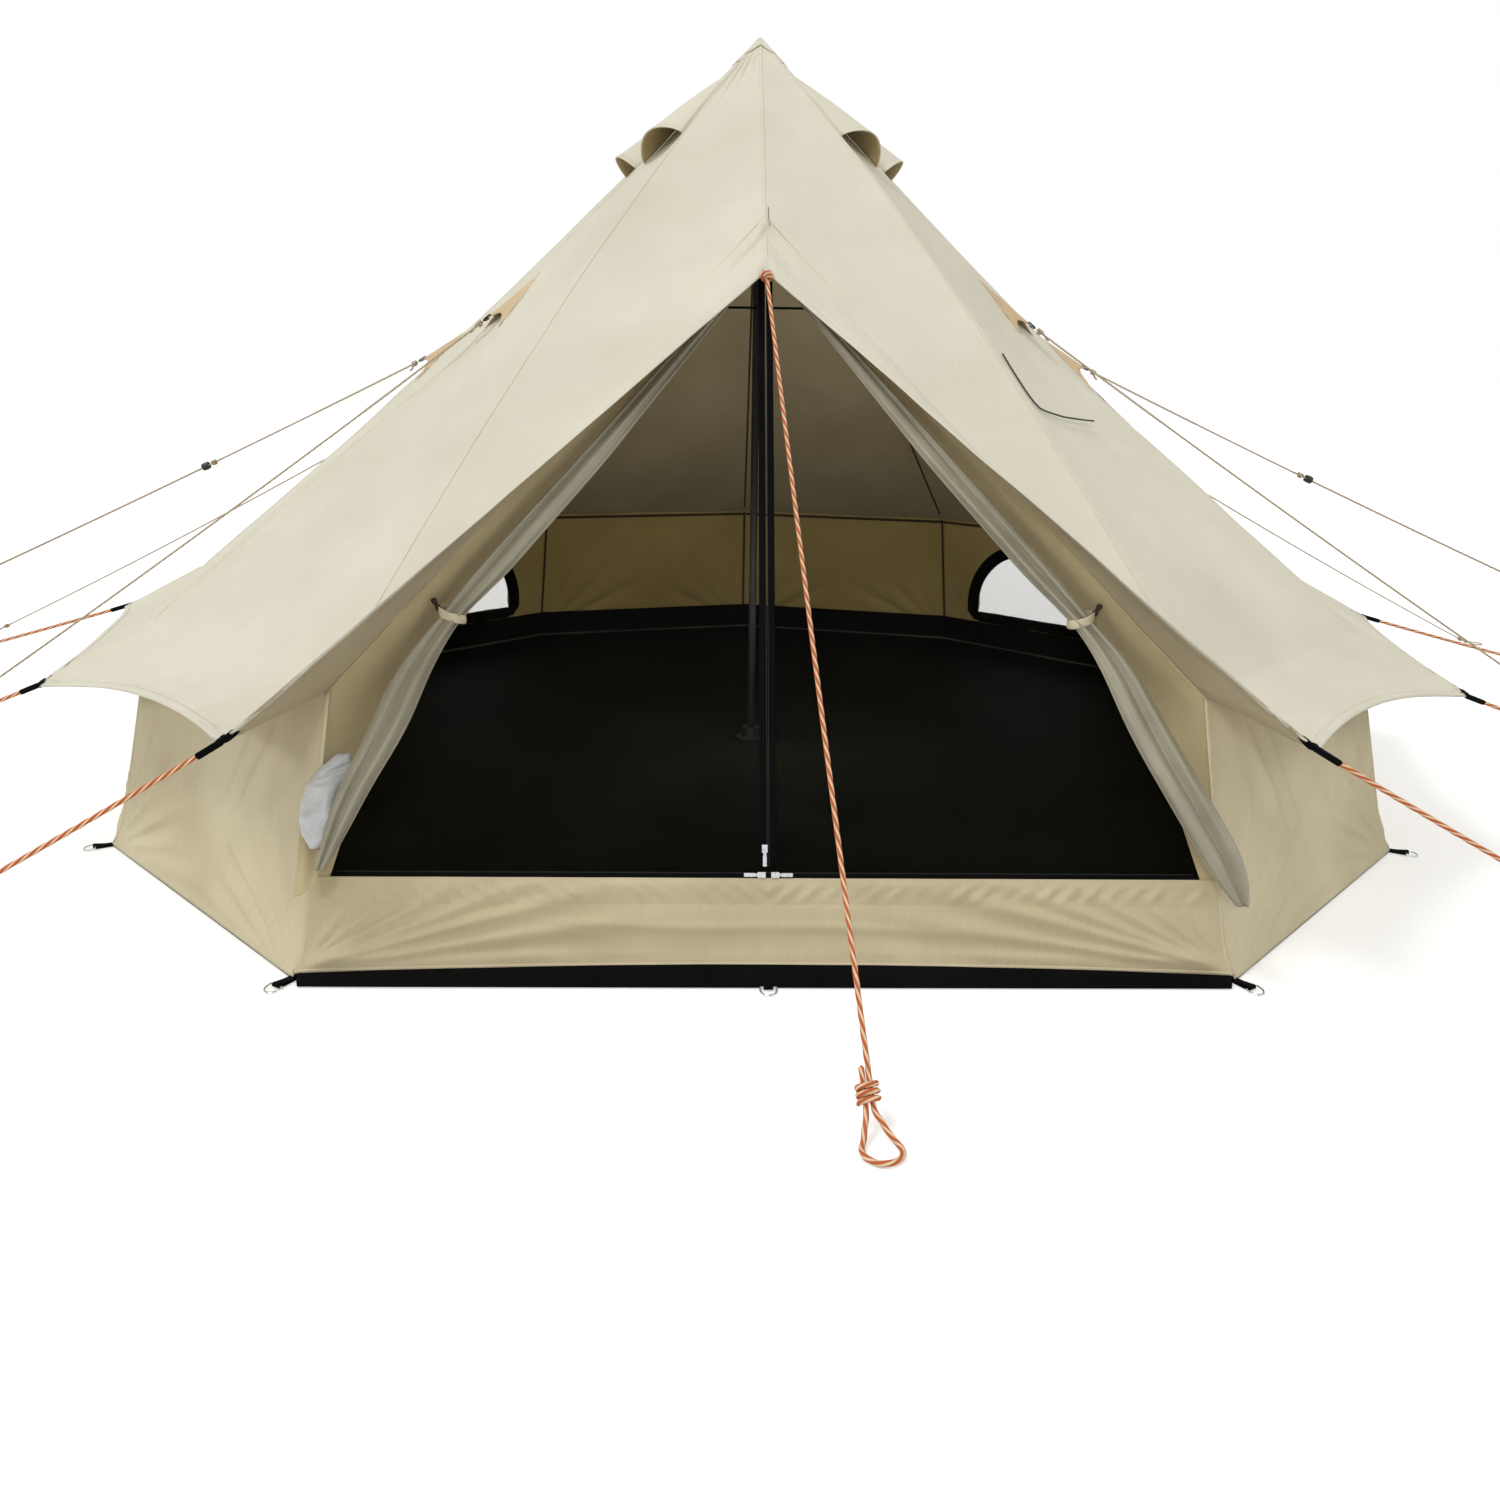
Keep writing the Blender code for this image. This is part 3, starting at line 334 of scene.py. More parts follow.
def cotton(name, dark, light, thread=0.0011, roughness=0.9, weave=0.25, specular=0.2, alpha=1.0):
    """Woven cloth: crossed threads in the bump, slubs and soft patches between two tones in the colour."""
    look, tree, shader = blank(name, roughness)
    shader.inputs["Specular IOR Level"].default_value = specular
    shader.inputs["Alpha"].default_value = alpha
    place = tree.nodes.new("ShaderNodeTexCoord")
    patches = node(tree, "ShaderNodeTexNoise", Scale=2.6, Detail=5.0, Roughness=0.55)
    tree.links.new(place.outputs["Object"], patches.inputs["Vector"])
    stretch = tree.nodes.new("ShaderNodeMapping")
    stretch.inputs["Scale"].default_value = (220.0, 14.0, 1.0)
    tree.links.new(place.outputs["UV"], stretch.inputs["Vector"])
    slubs = node(tree, "ShaderNodeTexNoise", Scale=1.0, Detail=3.0)
    tree.links.new(stretch.outputs[0], slubs.inputs["Vector"])
    tone = node(tree, "ShaderNodeMix", Factor=0.22)
    tree.links.new(patches.outputs["Fac"], tone.inputs["A"])
    tree.links.new(slubs.outputs["Fac"], tone.inputs["B"])
    tint(tree, shader, tone.outputs["Result"], [(0.32, dark), (0.62, light)])
    threads = []
    for direction in ("X", "Y"):
        wave = node(tree, "ShaderNodeTexWave", Scale=WAVE_REPEAT / thread, Distortion=0.6)
        wave.bands_direction = direction
        tree.links.new(place.outputs["UV"], wave.inputs["Vector"])
        threads.append(wave.outputs["Fac"])
    emboss(tree, shader, worked_out(tree, "MULTIPLY", *threads), weave, 0.0006)
    return look


CREAM = cotton("cream_canvas", (214, 209, 191), (225, 221, 204))
TAN = cotton("tan_canvas", (202, 191, 160), (219, 210, 181))
print("canvas finishes so far:", CREAM.name, TAN.name)

# %% [markdown]
# ## Guy ropes
#
# The front and eave ropes are thick twisted lines in orange and white; the upper ones are thin and pale.
# A rope could be a curve with a bevel, but then it has no strands. Here a three-lobed profile is carried
# along the route and turned as it goes, which makes the lay of the rope real.

# %% Rope routes
PEGS = {
    "eave30": {-1: (-2.02, -1.89), 1: (2.06, -1.92)},
    "eave60": {-1: (-3.02, -0.81), 1: (3.20, -0.86)},
    "eave90": {-1: (-3.81, 0.03), 1: (4.03, 0.03)},
    "upper60": {-1: (-2.68, -0.87), 1: (2.83, -0.92)},
    "upper90": {-1: (-3.84, -0.12), 1: (4.04, -0.12)},
    "upper120": {-1: (-3.58, 1.67), 1: (3.56, 1.66)},
}
LOOP_RADIUS, LOOP_TURN, BACK_FROM, BACK_TO = 0.035, 130, 0.045, 0.120
THICK, THIN, TAIL = 0.011, 0.006, 0.005
ROUTE_STEP, ABOVE_GROUND = 0.004, 0.0004
# A doubled rope's strands part from this share of the way down, and by this much at the peg
PART_FROM, PART_BY = 0.43, 0.030
# How far a strand lies from the next one, in diameters
STRAND_GAP = 1.08


def even(points, step):
    """The same line with its points a steady step apart."""
    run = lengths(points[None], 1)[0]
    at = np.linspace(0, run[-1], max(8, int(run[-1] / step)))
    return np.stack([np.interp(at, run, points[:, axis]) for axis in range(3)], axis=-1)


def soften(points, reach):
    """Rounds the corners of an even line by averaging over a few neighbours, with its ends kept."""
    kernel = np.hanning(2 * reach + 3)[1:-1]
    kernel = kernel / kernel.sum()
    first = 2 * points[:1] - points[reach:0:-1]
    last = 2 * points[-1:] - points[-2 : -reach - 2 : -1]
    padded = np.concatenate([first, points, last])
    return np.stack([np.convolve(padded[:, axis], kernel, "valid") for axis in range(3)], axis=-1)


def rope_route(start, peg, radius, sag=0.008, doubled=None):
    """From the tip to the ground with a slight sag, round the peg's loop and back beside itself.

    The way back is short on a knotted rope. On a doubled one it runs uphill to the share that doubled gives.
    """
    start = np.asarray(start, dtype=float)
    end = np.array([peg[0], peg[1], radius + ABOVE_GROUND])
    run = end - start
    span = np.linalg.norm(run)
    flat = unit(run * [1, 1, 0])
    beside = np.array([-flat[1], flat[0], 0.0])
    down = np.array([0.0, 0.0, sag * span])
    there = np.linspace(0, 1 - BACK_FROM / span, 60)[:, None]
    turn = np.radians(LOOP_TURN - 2 * LOOP_TURN * steps(40))[:, None]
    loop = end + flat * LOOP_RADIUS + LOOP_RADIUS * (flat * np.cos(turn) + beside * np.sin(turn))
    back = 1 - np.linspace(BACK_FROM / span, 1 - doubled if doubled else BACK_TO / span, 60)[:, None]
    parting = PART_BY * np.maximum(0, back - PART_FROM) / (1 - PART_FROM) if doubled else 0.0
    apart = 2 * STRAND_GAP * radius + parting
    first = start + run * there - down * 4 * there * (1 - there)
    second = start + run * back - down * 4 * back * (1 - back) - beside * apart
    return soften(even(np.concatenate([first, loop, second]), ROUTE_STEP), 5)


print("pegged ropes:", 2 * len(PEGS) + 1)

# %% [markdown]
# ## The look of a rope
#
# A laid rope has strands that wind round it. Their colours could be painted on by hand; here the UV map
# counts turns one way and lays the other, so one subtraction makes the stripes follow the strands.

# %% Rope finish


def twisted(name, strand, fleck, share):
    """Rope: spiral flecks across the strands, read from the UV map, where U is turns and V is lays."""
    look, tree, shader = blank(name, 0.85)
    place = tree.nodes.new("ShaderNodeTexCoord")
    split = tree.nodes.new("ShaderNodeSeparateXYZ")
    tree.links.new(place.outputs["UV"], split.inputs[0])
    lay = worked_out(tree, "SUBTRACT", split.outputs["X"], split.outputs["Y"])
    turns = worked_out(tree, "FRACT", lay)
    fuzz = node(tree, "ShaderNodeTexNoise", Scale=900.0, Detail=2.0)
    tree.links.new(place.outputs["Object"], fuzz.inputs["Vector"])
    mixed = worked_out(tree, "MULTIPLY_ADD", fuzz.outputs["Fac"], 0.22, turns)
    stops = [(share - 0.04, strand), (share + 0.04, fleck), (0.97, fleck), (1.0, strand)]
    tint(tree, shader, mixed, stops)
    emboss(tree, shader, fuzz.outputs["Fac"], 0.5, 0.0008)
    return look


ORANGE_ROPE = twisted("orange_rope", (192, 98, 52), (232, 208, 172), 0.58)
PALE_ROPE = twisted("pale_rope", (158, 138, 112), (206, 194, 172), 0.55)
# The loose cord's dark tones are painted shade.
SHADED_CORD = twisted("dark_cord", (52, 46, 42), (88, 80, 72), 0.6)
print("rope finishes:", ORANGE_ROPE.name, PALE_ROPE.name, SHADED_CORD.name)

# %% [markdown]
# ## From a route to a rope
#
# The strands are real lobes in the mesh, so a rope's outline is uneven as it should be. The profile is
# carried along the route and keeps its top towards one direction, so it turns only by the lay.

# %% Rope meshes


def rope_points(route, diameter, lay, sides, out, strands=3):
    """A lobed profile carried along the route: radius R(0.92 + 0.08 cos n(angle - turns)), one turn each lay.

    out is the direction that the profile's top keeps to. The two ends are rounded off.
    """
    ahead = unit(np.gradient(route, axis=0))
    beside = unit(np.cross(ahead, out))
    above = np.cross(beside, ahead)
    along = lengths(route[None], 1)[0]
    angle = np.linspace(0, 2 * np.pi, sides, endpoint=False)
    turns = along[:, None] / lay
    radius = diameter / 2 * (0.92 + 0.08 * np.cos(strands * angle - 2 * np.pi * turns))
    ends = np.clip(np.minimum(along, along[-1] - along) / (diameter * 0.35), 0.0, 1.0)[:, None]
    radius = radius * np.sqrt(1 - (1 - ends) ** 2)
    ring = np.cos(angle)[None, :, None] * beside[:, None] + np.sin(angle)[None, :, None] * above[:, None]
    around = np.broadcast_to(np.linspace(0, strands, sides + 1), (len(route), sides + 1))
    uv = np.stack([around, np.broadcast_to(turns, around.shape)], axis=-1)
    return route[:, None] + radius[..., None] * ring, uv


def rope_tube(name, routes, diameter, look, lay, sides=12, outs=None):
    """One object from one route, or from several routes that have the same number of points."""
    routes = routes if routes.ndim == 3 else routes[None]
    outs = np.broadcast_to([0.0, 0.0, 1.0], routes.shape) if outs is None else outs
    made = [rope_points(route, diameter, lay, sides, out) for route, out in zip(routes, outs)]
    points, uv = (np.stack(part) for part in zip(*made))
    return surface(name, points, look, wrap=True, uv=uv, weld=True)


print("rope widths in metres:", THICK, THIN, TAIL)

# %% [markdown]
# ## Knots
#
# A knot is a short length of the same rope, wound round the rope and the strand beside it. Each rope's
# length is also worked out along its route.

# %% Knots and rope lengths


def knot(route, at, diameter, apart=0.0, turns=2.6, count=44):
    """Turns of rope laid round a rope at a length along it, and round the strand that lies apart from it.

    The line is a helix of an oval section. Its second result points away from the knot's middle.
    """
    along = lengths(route[None], 1)[0]
    spot = np.array([np.interp(at, along, route[:, axis]) for axis in range(3)])
    later = np.array([np.interp(at + 0.012, along, route[:, axis]) for axis in range(3)])
    ahead = unit(later - spot)
    beside = unit(np.cross([0.0, 0.0, 1.0], ahead))
    above = np.cross(ahead, beside)
    turn = np.linspace(0, 2 * np.pi * turns, count)[:, None]
    out = beside * np.cos(turn) + above * np.sin(turn)
    oval = beside * np.cos(turn) * (1.06 * diameter + apart / 2) + above * np.sin(turn) * 1.10 * diameter
    return spot - beside * apart / 2 + oval + ahead * diameter * 1.07 * turn / (2 * np.pi), out


def declare_rope(piece, route, nodes, on_it=()):
    """Hangs a rope and its new pieces on the tent, hides its solid and works out its length. Slings are hung
    already.
    """
    for held in (piece, *on_it):
        if held.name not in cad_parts:
            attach(held, "tent")
    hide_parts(nodes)
    length = float(lengths(route[None], 1)[0, -1])


def rope_start(tip, peg, gap):
    """The rope's first point: a small gap from the tip, towards its peg."""
    return tip + unit(np.array([peg[0], peg[1], 0.0]) - tip) * gap


def span_of(start, peg):
    """The straight length from a rope's first point to its peg."""
    return float(np.linalg.norm(np.array([peg[0], peg[1], 0.0]) - start))


print("a peg's loop is", 2 * LOOP_RADIUS, "m wide")

# %% [markdown]
# ## Thick ropes
#
# Six thick ropes pull the eave tips out and one pulls the porch forward. At the eave a sling of black webbing
# takes the rope, and the porch's rope is knotted straight into its eye. All end in a knotted loop at a peg.

# %% Thick ropes
SIDES = {-1: "left", 1: "right"}
ribbed = {"thread": 0.0016, "roughness": 0.75, "weave": 0.6, "specular": 0.04}
BLACK_WEB = cotton("black_webbing", (5, 5, 6), (15, 15, 16), **ribbed)
EAVE_RADIUS, FRONT_TIP_HEIGHT, TIP_HEIGHT = 2.145, 0.552, 0.456
EAVE_ROPES = {
    # the tip's angle and height, and the gap before the rope starts
    "eave30": (30, FRONT_TIP_HEIGHT, 0.0038),
    "eave60": (60, TIP_HEIGHT, 0.0018),
    "eave90": (90, TIP_HEIGHT, 0.0009),
}
FRONT_START, FRONT_PEG = (0.0, -0.937, 1.526), (0.165, -2.281)
SLING_LENGTH, SLING_WIDTH = 0.052, 0.0150
THICK_LAY = 0.034


def webbing_sling(name, route):
    """A sling round the rope's first stretch: a tube that starts inside the eave tip."""
    inside_tip = 2 * route[:1] - route[4:5]
    stretch = np.concatenate([inside_tip, route[: int(SLING_LENGTH / ROUTE_STEP)]])
    sling = rope_tube(name + "_sling", even(stretch, ROUTE_STEP), SLING_WIDTH, BLACK_WEB, 0.4, 14)
    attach(sling, "tent")
    return sling


def thick_rope(name, solid, start, peg, has_sling):
    """A thick rope, knotted at its peg. Its upper end has a webbing sling or else a knot."""
    route = rope_route(start, peg, THICK / 2)
    low = span_of(np.asarray(start), peg) - 2 * BACK_FROM
    made = [knot(route, low, THICK, STRAND_GAP * THICK)]
    if not has_sling:
        made.append(knot(route, 0.009, THICK, turns=1.4))
    wraps, outs = map(np.stack, zip(*made))
    rope = rope_tube(name, route, THICK, ORANGE_ROPE, THICK_LAY)
    knots = rope_tube(name + "_knots", wraps, THICK, ORANGE_ROPE, THICK_LAY, 9, outs)
    slings = [webbing_sling(name, route)] if has_sling else []
    declare_rope(rope, route, solid, on_it=[knots])


thick_rope("front_rope", "rope_front", FRONT_START, FRONT_PEG, False)
for side, label in SIDES.items():
    for name, (angle, height, gap) in EAVE_ROPES.items():
        peg = PEGS[name][side]
        start = rope_start(polar(side * angle, EAVE_RADIUS, height), peg, gap)
        thick_rope(name + "_rope_" + label, "rope_" + name + "_" + label, start, peg, True)

# %% [markdown]
# ## The roof's lines
#
# Twelve hips run from the apex to the eave tips. Over the walls each hip sags a little, as canvas does, and
# the two at the door are pulled up by the porch. Between two hips a panel is nearly flat. All that lies on
# the roof, such as the hoods, seams and the loose cord, is placed with the same function.

# %% Roof function
WALL_TOP_RADIUS, WALL_TOP, APEX = 1.872, 0.600, 2.332
RIDGE_RADIUS, RIDGE_DROP = 0.800, 0.676
PORCH_RADIUS, PORCH_HEIGHT = 0.930, 1.528
FRONT_BOW, HIP_SAG = 0.080, -0.048
SCALLOP = 0.24


def hip_at(k, s):
    """A point on hip k, counted round from the door: s is 0 at the apex, 1 over the wall, 2 at the tip."""
    k = np.mod(k, 12)
    s = np.asarray(s, dtype=float)
    down, out = np.minimum(s, 1.0), np.clip(s - 1.0, 0.0, 1.0)
    door, front = k == 0, (k == 1) | (k == 11)
    bow = np.where(front, FRONT_BOW, HIP_SAG) * 4 * down * (1 - down)
    radius = np.where(door, RIDGE_RADIUS, WALL_TOP_RADIUS) * down
    height = np.where(door, APEX - RIDGE_DROP * down, APEX + (WALL_TOP - APEX) * down + bow)
    tip_radius = np.where(door, PORCH_RADIUS, EAVE_RADIUS)
    tip_height = np.where(door, PORCH_HEIGHT, np.where(front, FRONT_TIP_HEIGHT, TIP_HEIGHT))
    return polar(30.0 * k, radius + (tip_radius - radius) * out, height + (tip_height - height) * out)


def roof_at(u, s):
    """The taut roof: u counts panels round from the door, s goes down it; the eave is scalloped."""
    u, s = np.broadcast_arrays(np.mod(u, 12.0), np.asarray(s, dtype=float))
    panel = np.floor(u)
    t = (u - panel)[..., None]
    here = hip_at(panel, s) * (1 - t) + hip_at(panel + 1, s) * t
    wall = hip_at(panel, np.minimum(s, 1.0)) * (1 - t) + hip_at(panel + 1, np.minimum(s, 1.0)) * t
    porch = ((panel == 0) | (panel == 11))[..., None]
    return here + (wall - here) * np.where(porch, 0.0, SCALLOP) * 4 * t * (1 - t)


def roof_normal(u, s):
    """The direction straight out of the roof, from two small steps across and down it."""
    s = np.maximum(s, 0.004)
    across = roof_at(u + 0.01, s) - roof_at(u - 0.01, s)
    down = roof_at(u, np.minimum(s + 0.003, 2.0)) - roof_at(u, s - 0.003)
    out = unit(np.cross(down, across))
    return np.where(out[..., 2:] < 0, -out, out)


print("eave tip:", np.round(roof_at(np.array(1.0), np.array(2.0)), 3))

# %% [markdown]
# ## Thin ropes
#
# The thin ropes start at gussets half way up the roof. The middle pair is doubled, so that a runner can
# tighten it. Each upper knot leaves a short tail.

# %% Upper ropes
# Each gusset's angle, radius and lift from the hip
GUSSETS = {
    "upper60": (57.5, 0.950, 0.0070),
    "upper90": (90.0, 1.116, 0.0427),
    "upper120": (120.0, 1.110, 0.0413),
}
ROPE_GAPS = {
    "upper60": {-1: 0.0048, 1: 0.0068},
    "upper90": {-1: 0.0056, 1: 0.0056},
    "upper120": {-1: 0.0056, 1: 0.0056},
}
THIN_LAY = 0.020
# Where the doubled rope's second strand ends and its knot sits, as shares of the way down
DOUBLED_TO, DOUBLED_KNOT = 0.24, 0.25


def gusset_tip(name, side):
    """The point an upper rope pulls: at its own angle and radius, a little above the nearest hip."""
    angle, radius, lift = GUSSETS[name]
    height = hip_at(np.array(round(angle / 30)), np.array(radius / WALL_TOP_RADIUS))[2] + lift
    return polar(side * angle, radius, height)


def rope_tail(start, out, beside, length, count=44):
    """The short free end of a knot: it leaves sideways, bends over and hangs, no lower than the roof."""
    t = steps(count)[:, None]
    line = start + beside * 0.012 * np.sqrt(t) + out * 0.020 * t - np.array([0.0, 0.0, length]) * t**1.5
    roof_height = start[2] - 0.006 - 0.90 * ((line - start) @ out)[:, None]
    line[:, 2:] = np.maximum(line[:, 2:], roof_height)
    return line


for side, label in SIDES.items():
    for name in GUSSETS:
        peg = PEGS[name][side]
        tip = gusset_tip(name, side)
        start = rope_start(tip, peg, ROPE_GAPS[name][side])
        doubled = DOUBLED_TO if name == "upper90" else None
        route = rope_route(start, peg, THIN / 2, doubled=doubled)
        span = span_of(start, peg)
        low = span * DOUBLED_KNOT if doubled else span - 2 * BACK_FROM
        wraps, outs = zip(knot(route, 0.006, THIN), knot(route, low, THIN, STRAND_GAP * THIN))
        out = unit(tip * [1, 1, 0])
        beside = np.array([-out[1], out[0], 0.0]) * side
        tail = rope_tail(route[4] + beside * 0.010, out, beside, 0.036)
        wraps = np.stack([*wraps, tail])
        outs = np.stack([*outs, np.broadcast_to(out, tail.shape)])
        rope = rope_tube(name + "_rope_" + label, route, THIN, PALE_ROPE, THIN_LAY, 9)
        knots = rope_tube(name + "_knots_" + label, wraps, THIN, PALE_ROPE, THIN_LAY, 8, outs)
        on_it = [knots] + ([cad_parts["runner_" + label]] if doubled else [])
        declare_rope(rope, route, "rope_" + name + "_" + label, on_it=on_it)

# %% [markdown]
# ## Loose cord
#
# On the right a loose cord lies on the roof; its dark colour is painted shade. Its bends are placed in the
# panel's own measures, across and down, so that it stays on the cloth, and a soft average rounds them.

# %% Loose cord
TAIL_LAY = 0.016
# Bends of the cord: eighths of the panel's width, and shares of the way from 0.6 to 0.7 down the roof
TAIL_ACROSS = np.array([0.45, 0.34, 0.29, 0.35, 0.47, 0.97, 1.83, 3.13, 4.03])
TAIL_DOWN = np.array([0.197, 0.420, 0.719, 0.870, 0.950, 0.965, 0.970, 0.923, 0.880])
tail_u, tail_s = 1 + TAIL_ACROSS / 8, 0.6 + 0.1 * TAIL_DOWN
route = roof_at(tail_u, tail_s) + roof_normal(tail_u, tail_s) * (TAIL / 2 + 0.0010)
route = soften(even(route, 0.003), 8)
rope = rope_tube("loose_cord", route, TAIL, SHADED_CORD, TAIL_LAY, 8)
declare_rope(rope, route, "cord_tail")

# %% [markdown]
# ## Roof canvas
#
# The roof is one cloth of twelve panels. It could be twelve flat triangles, but tensioned canvas dips
# between its hips, ripples where a rope pulls and folds where the porch is pinched to the door's peak. So the
# taut roof is a formula, and the cloth is that formula moved along its normal by a second one, the relief.

# %% Helpers for uneven cloth


def waves(points, wavelength, seed, count=7):
    """Soft unevenness from -1 to 1: a sum of sine waves in random directions of about one wavelength."""
    rng = np.random.default_rng(seed)
    ways = unit(rng.normal(size=(count, 3))) * (2 * np.pi / wavelength) * rng.uniform(0.7, 1.4, (count, 1))
    phases = rng.uniform(0, 2 * np.pi, count)
    return np.sin(points @ ways.T + phases).sum(axis=-1) / np.sqrt(count * 2)


def bump_at(x, middle, width):
    """A smooth hump: 1 at the middle, falling to 0 over about the width."""
    return np.exp(-(((x - middle) / width) ** 2))


def smooth(x, low, high):
    """0 below low and 1 above high, with a soft ramp between."""
    t = np.clip((x - low) / (high - low), 0.0, 1.0)
    return t * t * (3 - 2 * t)


print("a quarter of the way up the soft ramp:", float(smooth(0.25, 0.0, 1.0)))

# %% [markdown]
# ## Folds of the roof
#
# Canvas that is pulled at a point folds in a fan round it. Such folds could be sculpted with a brush, but a
# fan of cosine ridges that fade with distance is the same on each run and moves with its rope.

# %% Roof relief


def pull_folds(u, s, flat, k, at, size, count, seed):
    """Folds that fan out from a pulled point on hip k: cosine ridges round it that fade with distance."""
    gap = np.mod(u - k + 6.0, 12.0) - 6.0
    away = np.linalg.norm(flat - roof_at(np.array(float(k)), np.array(at)), axis=-1)
    fan = np.arctan2(gap * 0.97 * np.maximum(s, 0.1), (s - at) * 2.3 + 1e-6)
    ridges = np.cos(count * fan + seed) * np.clip(away / 0.06, 0, 1)
    return size * ridges * np.exp(-away / 0.22)


def porch_fold(beside, s):
    """The porch below its ridge: a small nose, a hollow under it, and a stiff patch sewn on the axis."""
    hollow = bump_at(beside, 0.0, 0.12) * smooth(s, 1.0, 1.20) * (1 - smooth(s, 1.3, 1.75))
    patch = bump_at(beside, 0.0, 0.045) * smooth(s, 1.10, 1.35) * (1 - smooth(s, 1.7, 2.0))
    nose = bump_at(beside, 0.0, 0.016) * bump_at(s, 0.995, 0.035)
    puckers = np.cos(2 * np.pi * beside * 42) * bump_at(beside, 0.05, 0.035) * bump_at(s, 1.62, 0.28)
    crease = bump_at(s, 1.80, 0.025) * smooth(beside, 0.02, 0.06)
    return 0.010 * nose - 0.011 * hollow + 0.010 * patch + 0.0016 * puckers - 0.0016 * crease


def roof_relief(u, s, flat):
    """How far the cloth stands out from the taut roof: panel sag, porch fold, pull folds and soft waves."""
    u = np.mod(u, 12.0)
    panel = np.floor(u)
    t = u - panel
    porch = (panel == 0) | (panel == 11)
    belly = 4 * t * (1 - t)
    down, out = np.minimum(s, 1.0), np.clip(s - 1.0, 0.0, 1.0)
    sag = -np.where(porch, 0.006, 0.014) * belly * np.sin(np.pi * down) ** 0.8
    sag = sag - np.where(porch, 0.0, 0.010) * belly * np.sin(np.pi * out)
    beside = np.minimum(u, 12.0 - u)
    sag = sag - 0.026 * bump_at(beside, 2.0, 0.36) * bump_at(s, 0.55, 0.13)
    sag = sag - 0.0016 * bump_at(s, 1.0, 0.012) * ~porch
    folds = np.zeros_like(flat[..., 0])
    for number, k in enumerate((1, 2, 3, 4, 8, 9, 10, 11)):
        folds = folds + pull_folds(u, s, flat, k, 2.0, 0.0046, 11, number)
    for number, (k, at) in enumerate(((2, 0.51), (3, 0.60), (4, 0.59), (10, 0.51), (9, 0.60), (8, 0.59))):
        folds = folds + pull_folds(u, s, flat, k, at, 0.0026, 9, number * 1.7)
    crown = 0.0034 * np.cos(2 * np.pi * (beside * 4.0 + 0.8 * s)) * bump_at(s, 0.12, 0.06)
    crown = crown * (u > 11) * np.sqrt(belly)
    drift = 0.0022 * waves(flat, 0.55, 3) + 0.0006 * waves(flat, 0.16, 4)
    return sag + porch_fold(beside, s) + (folds + crown + drift) * np.clip(s / 0.05, 0, 1)


def roof_cloth(u, s, lift=0.0):
    """A point on the finished roof cloth, lifted by a little where something lies on it."""
    flat = roof_at(u, s)
    return flat + roof_normal(u, s) * (roof_relief(u, s, flat) + lift)[..., None]


print("half way down the first panel:", np.round(roof_cloth(np.array(0.5), np.array(0.5)), 3))

# %% [markdown]
# ## The roof's mesh
#
# The grid is closest at the porch, where the folds are smallest, and its top row is welded to one point. The
# inside of the cloth is darker than the outside, partly its own tan and partly painted shade, so the
# thickness brings its own lining. One helper sews on each cloth from here on: it gives the thickness and
# says what the cloth hangs on.

# %% Roof cloth


def sew_on(piece, thickness, offset=-1.0, lining=None, solid=None, body="tent"):
    """Gives a cloth its thickness and any lining, hangs it on a body and hides any solid that it replaces.

    offset is the side that the thickness goes to, and lining is the look of the side that it adds.
    """
    shell = piece.modifiers.new("thickness", "SOLIDIFY")
    shell.thickness = thickness
    shell.offset = offset
    if lining is not None:
        piece.data.materials.append(lining)
        shell.material_offset = 1
    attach(piece, body)
    if solid is not None:
        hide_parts(solid)
    return piece


# The lining's darker tan is partly the canvas's inner side and partly painted shade.
SHADED_LINING = cotton("canvas_inside_painted_shade", (178, 166, 136), (196, 184, 154))
ROOF_THICK = 0.0018
near_door = steps(52) ** 1.8
around = np.concatenate([near_door[:-1], np.linspace(1, 11, 221)[:-1], 12 - near_door[:0:-1]])
top_rows, slope_rows = np.linspace(0.0, 0.3, 24)[:-1], np.linspace(0.3, 0.97, 46)[:-1]
rows = np.concatenate([top_rows, slope_rows, np.linspace(0.97, 2.0, 42)])
points = roof_cloth(*np.meshgrid(around, rows))
points[0] = (0.0, 0.0, APEX - 0.004)
roof = surface("roof_canvas", points, CREAM, wrap=True, flip=True, weld=True)
sew_on(roof, ROOF_THICK, lining=SHADED_LINING, solid="roof")

# %% [markdown]
# ## Seams, hems and reinforcements
#
# Each hip is a felled seam, two layers folded into each other and stitched down twice. A strip that follows
# the same roof function, lifted by its own thickness, gives it a real edge. The free edge is a hem: the cloth
# turns round and comes back, so its profile is a narrow U.

# %% Roof seams and hem


def hip_strip(k, rows, half, lift, columns=7):
    """A strip along hip k: across it the lift rises to a flat top and falls to the cloth at both sides."""
    place = np.linspace(-1, 1, columns)
    width = np.linalg.norm(roof_at(k + 0.5, rows) - roof_at(k + 0.49, rows), axis=-1) / 0.01
    u = k + place[None] * half / np.maximum(width[:, None], 0.05)
    profile = lift * (1 - np.abs(place) ** 6)
    return roof_cloth(u, np.broadcast_to(rows[:, None], u.shape), np.broadcast_to(profile, u.shape))


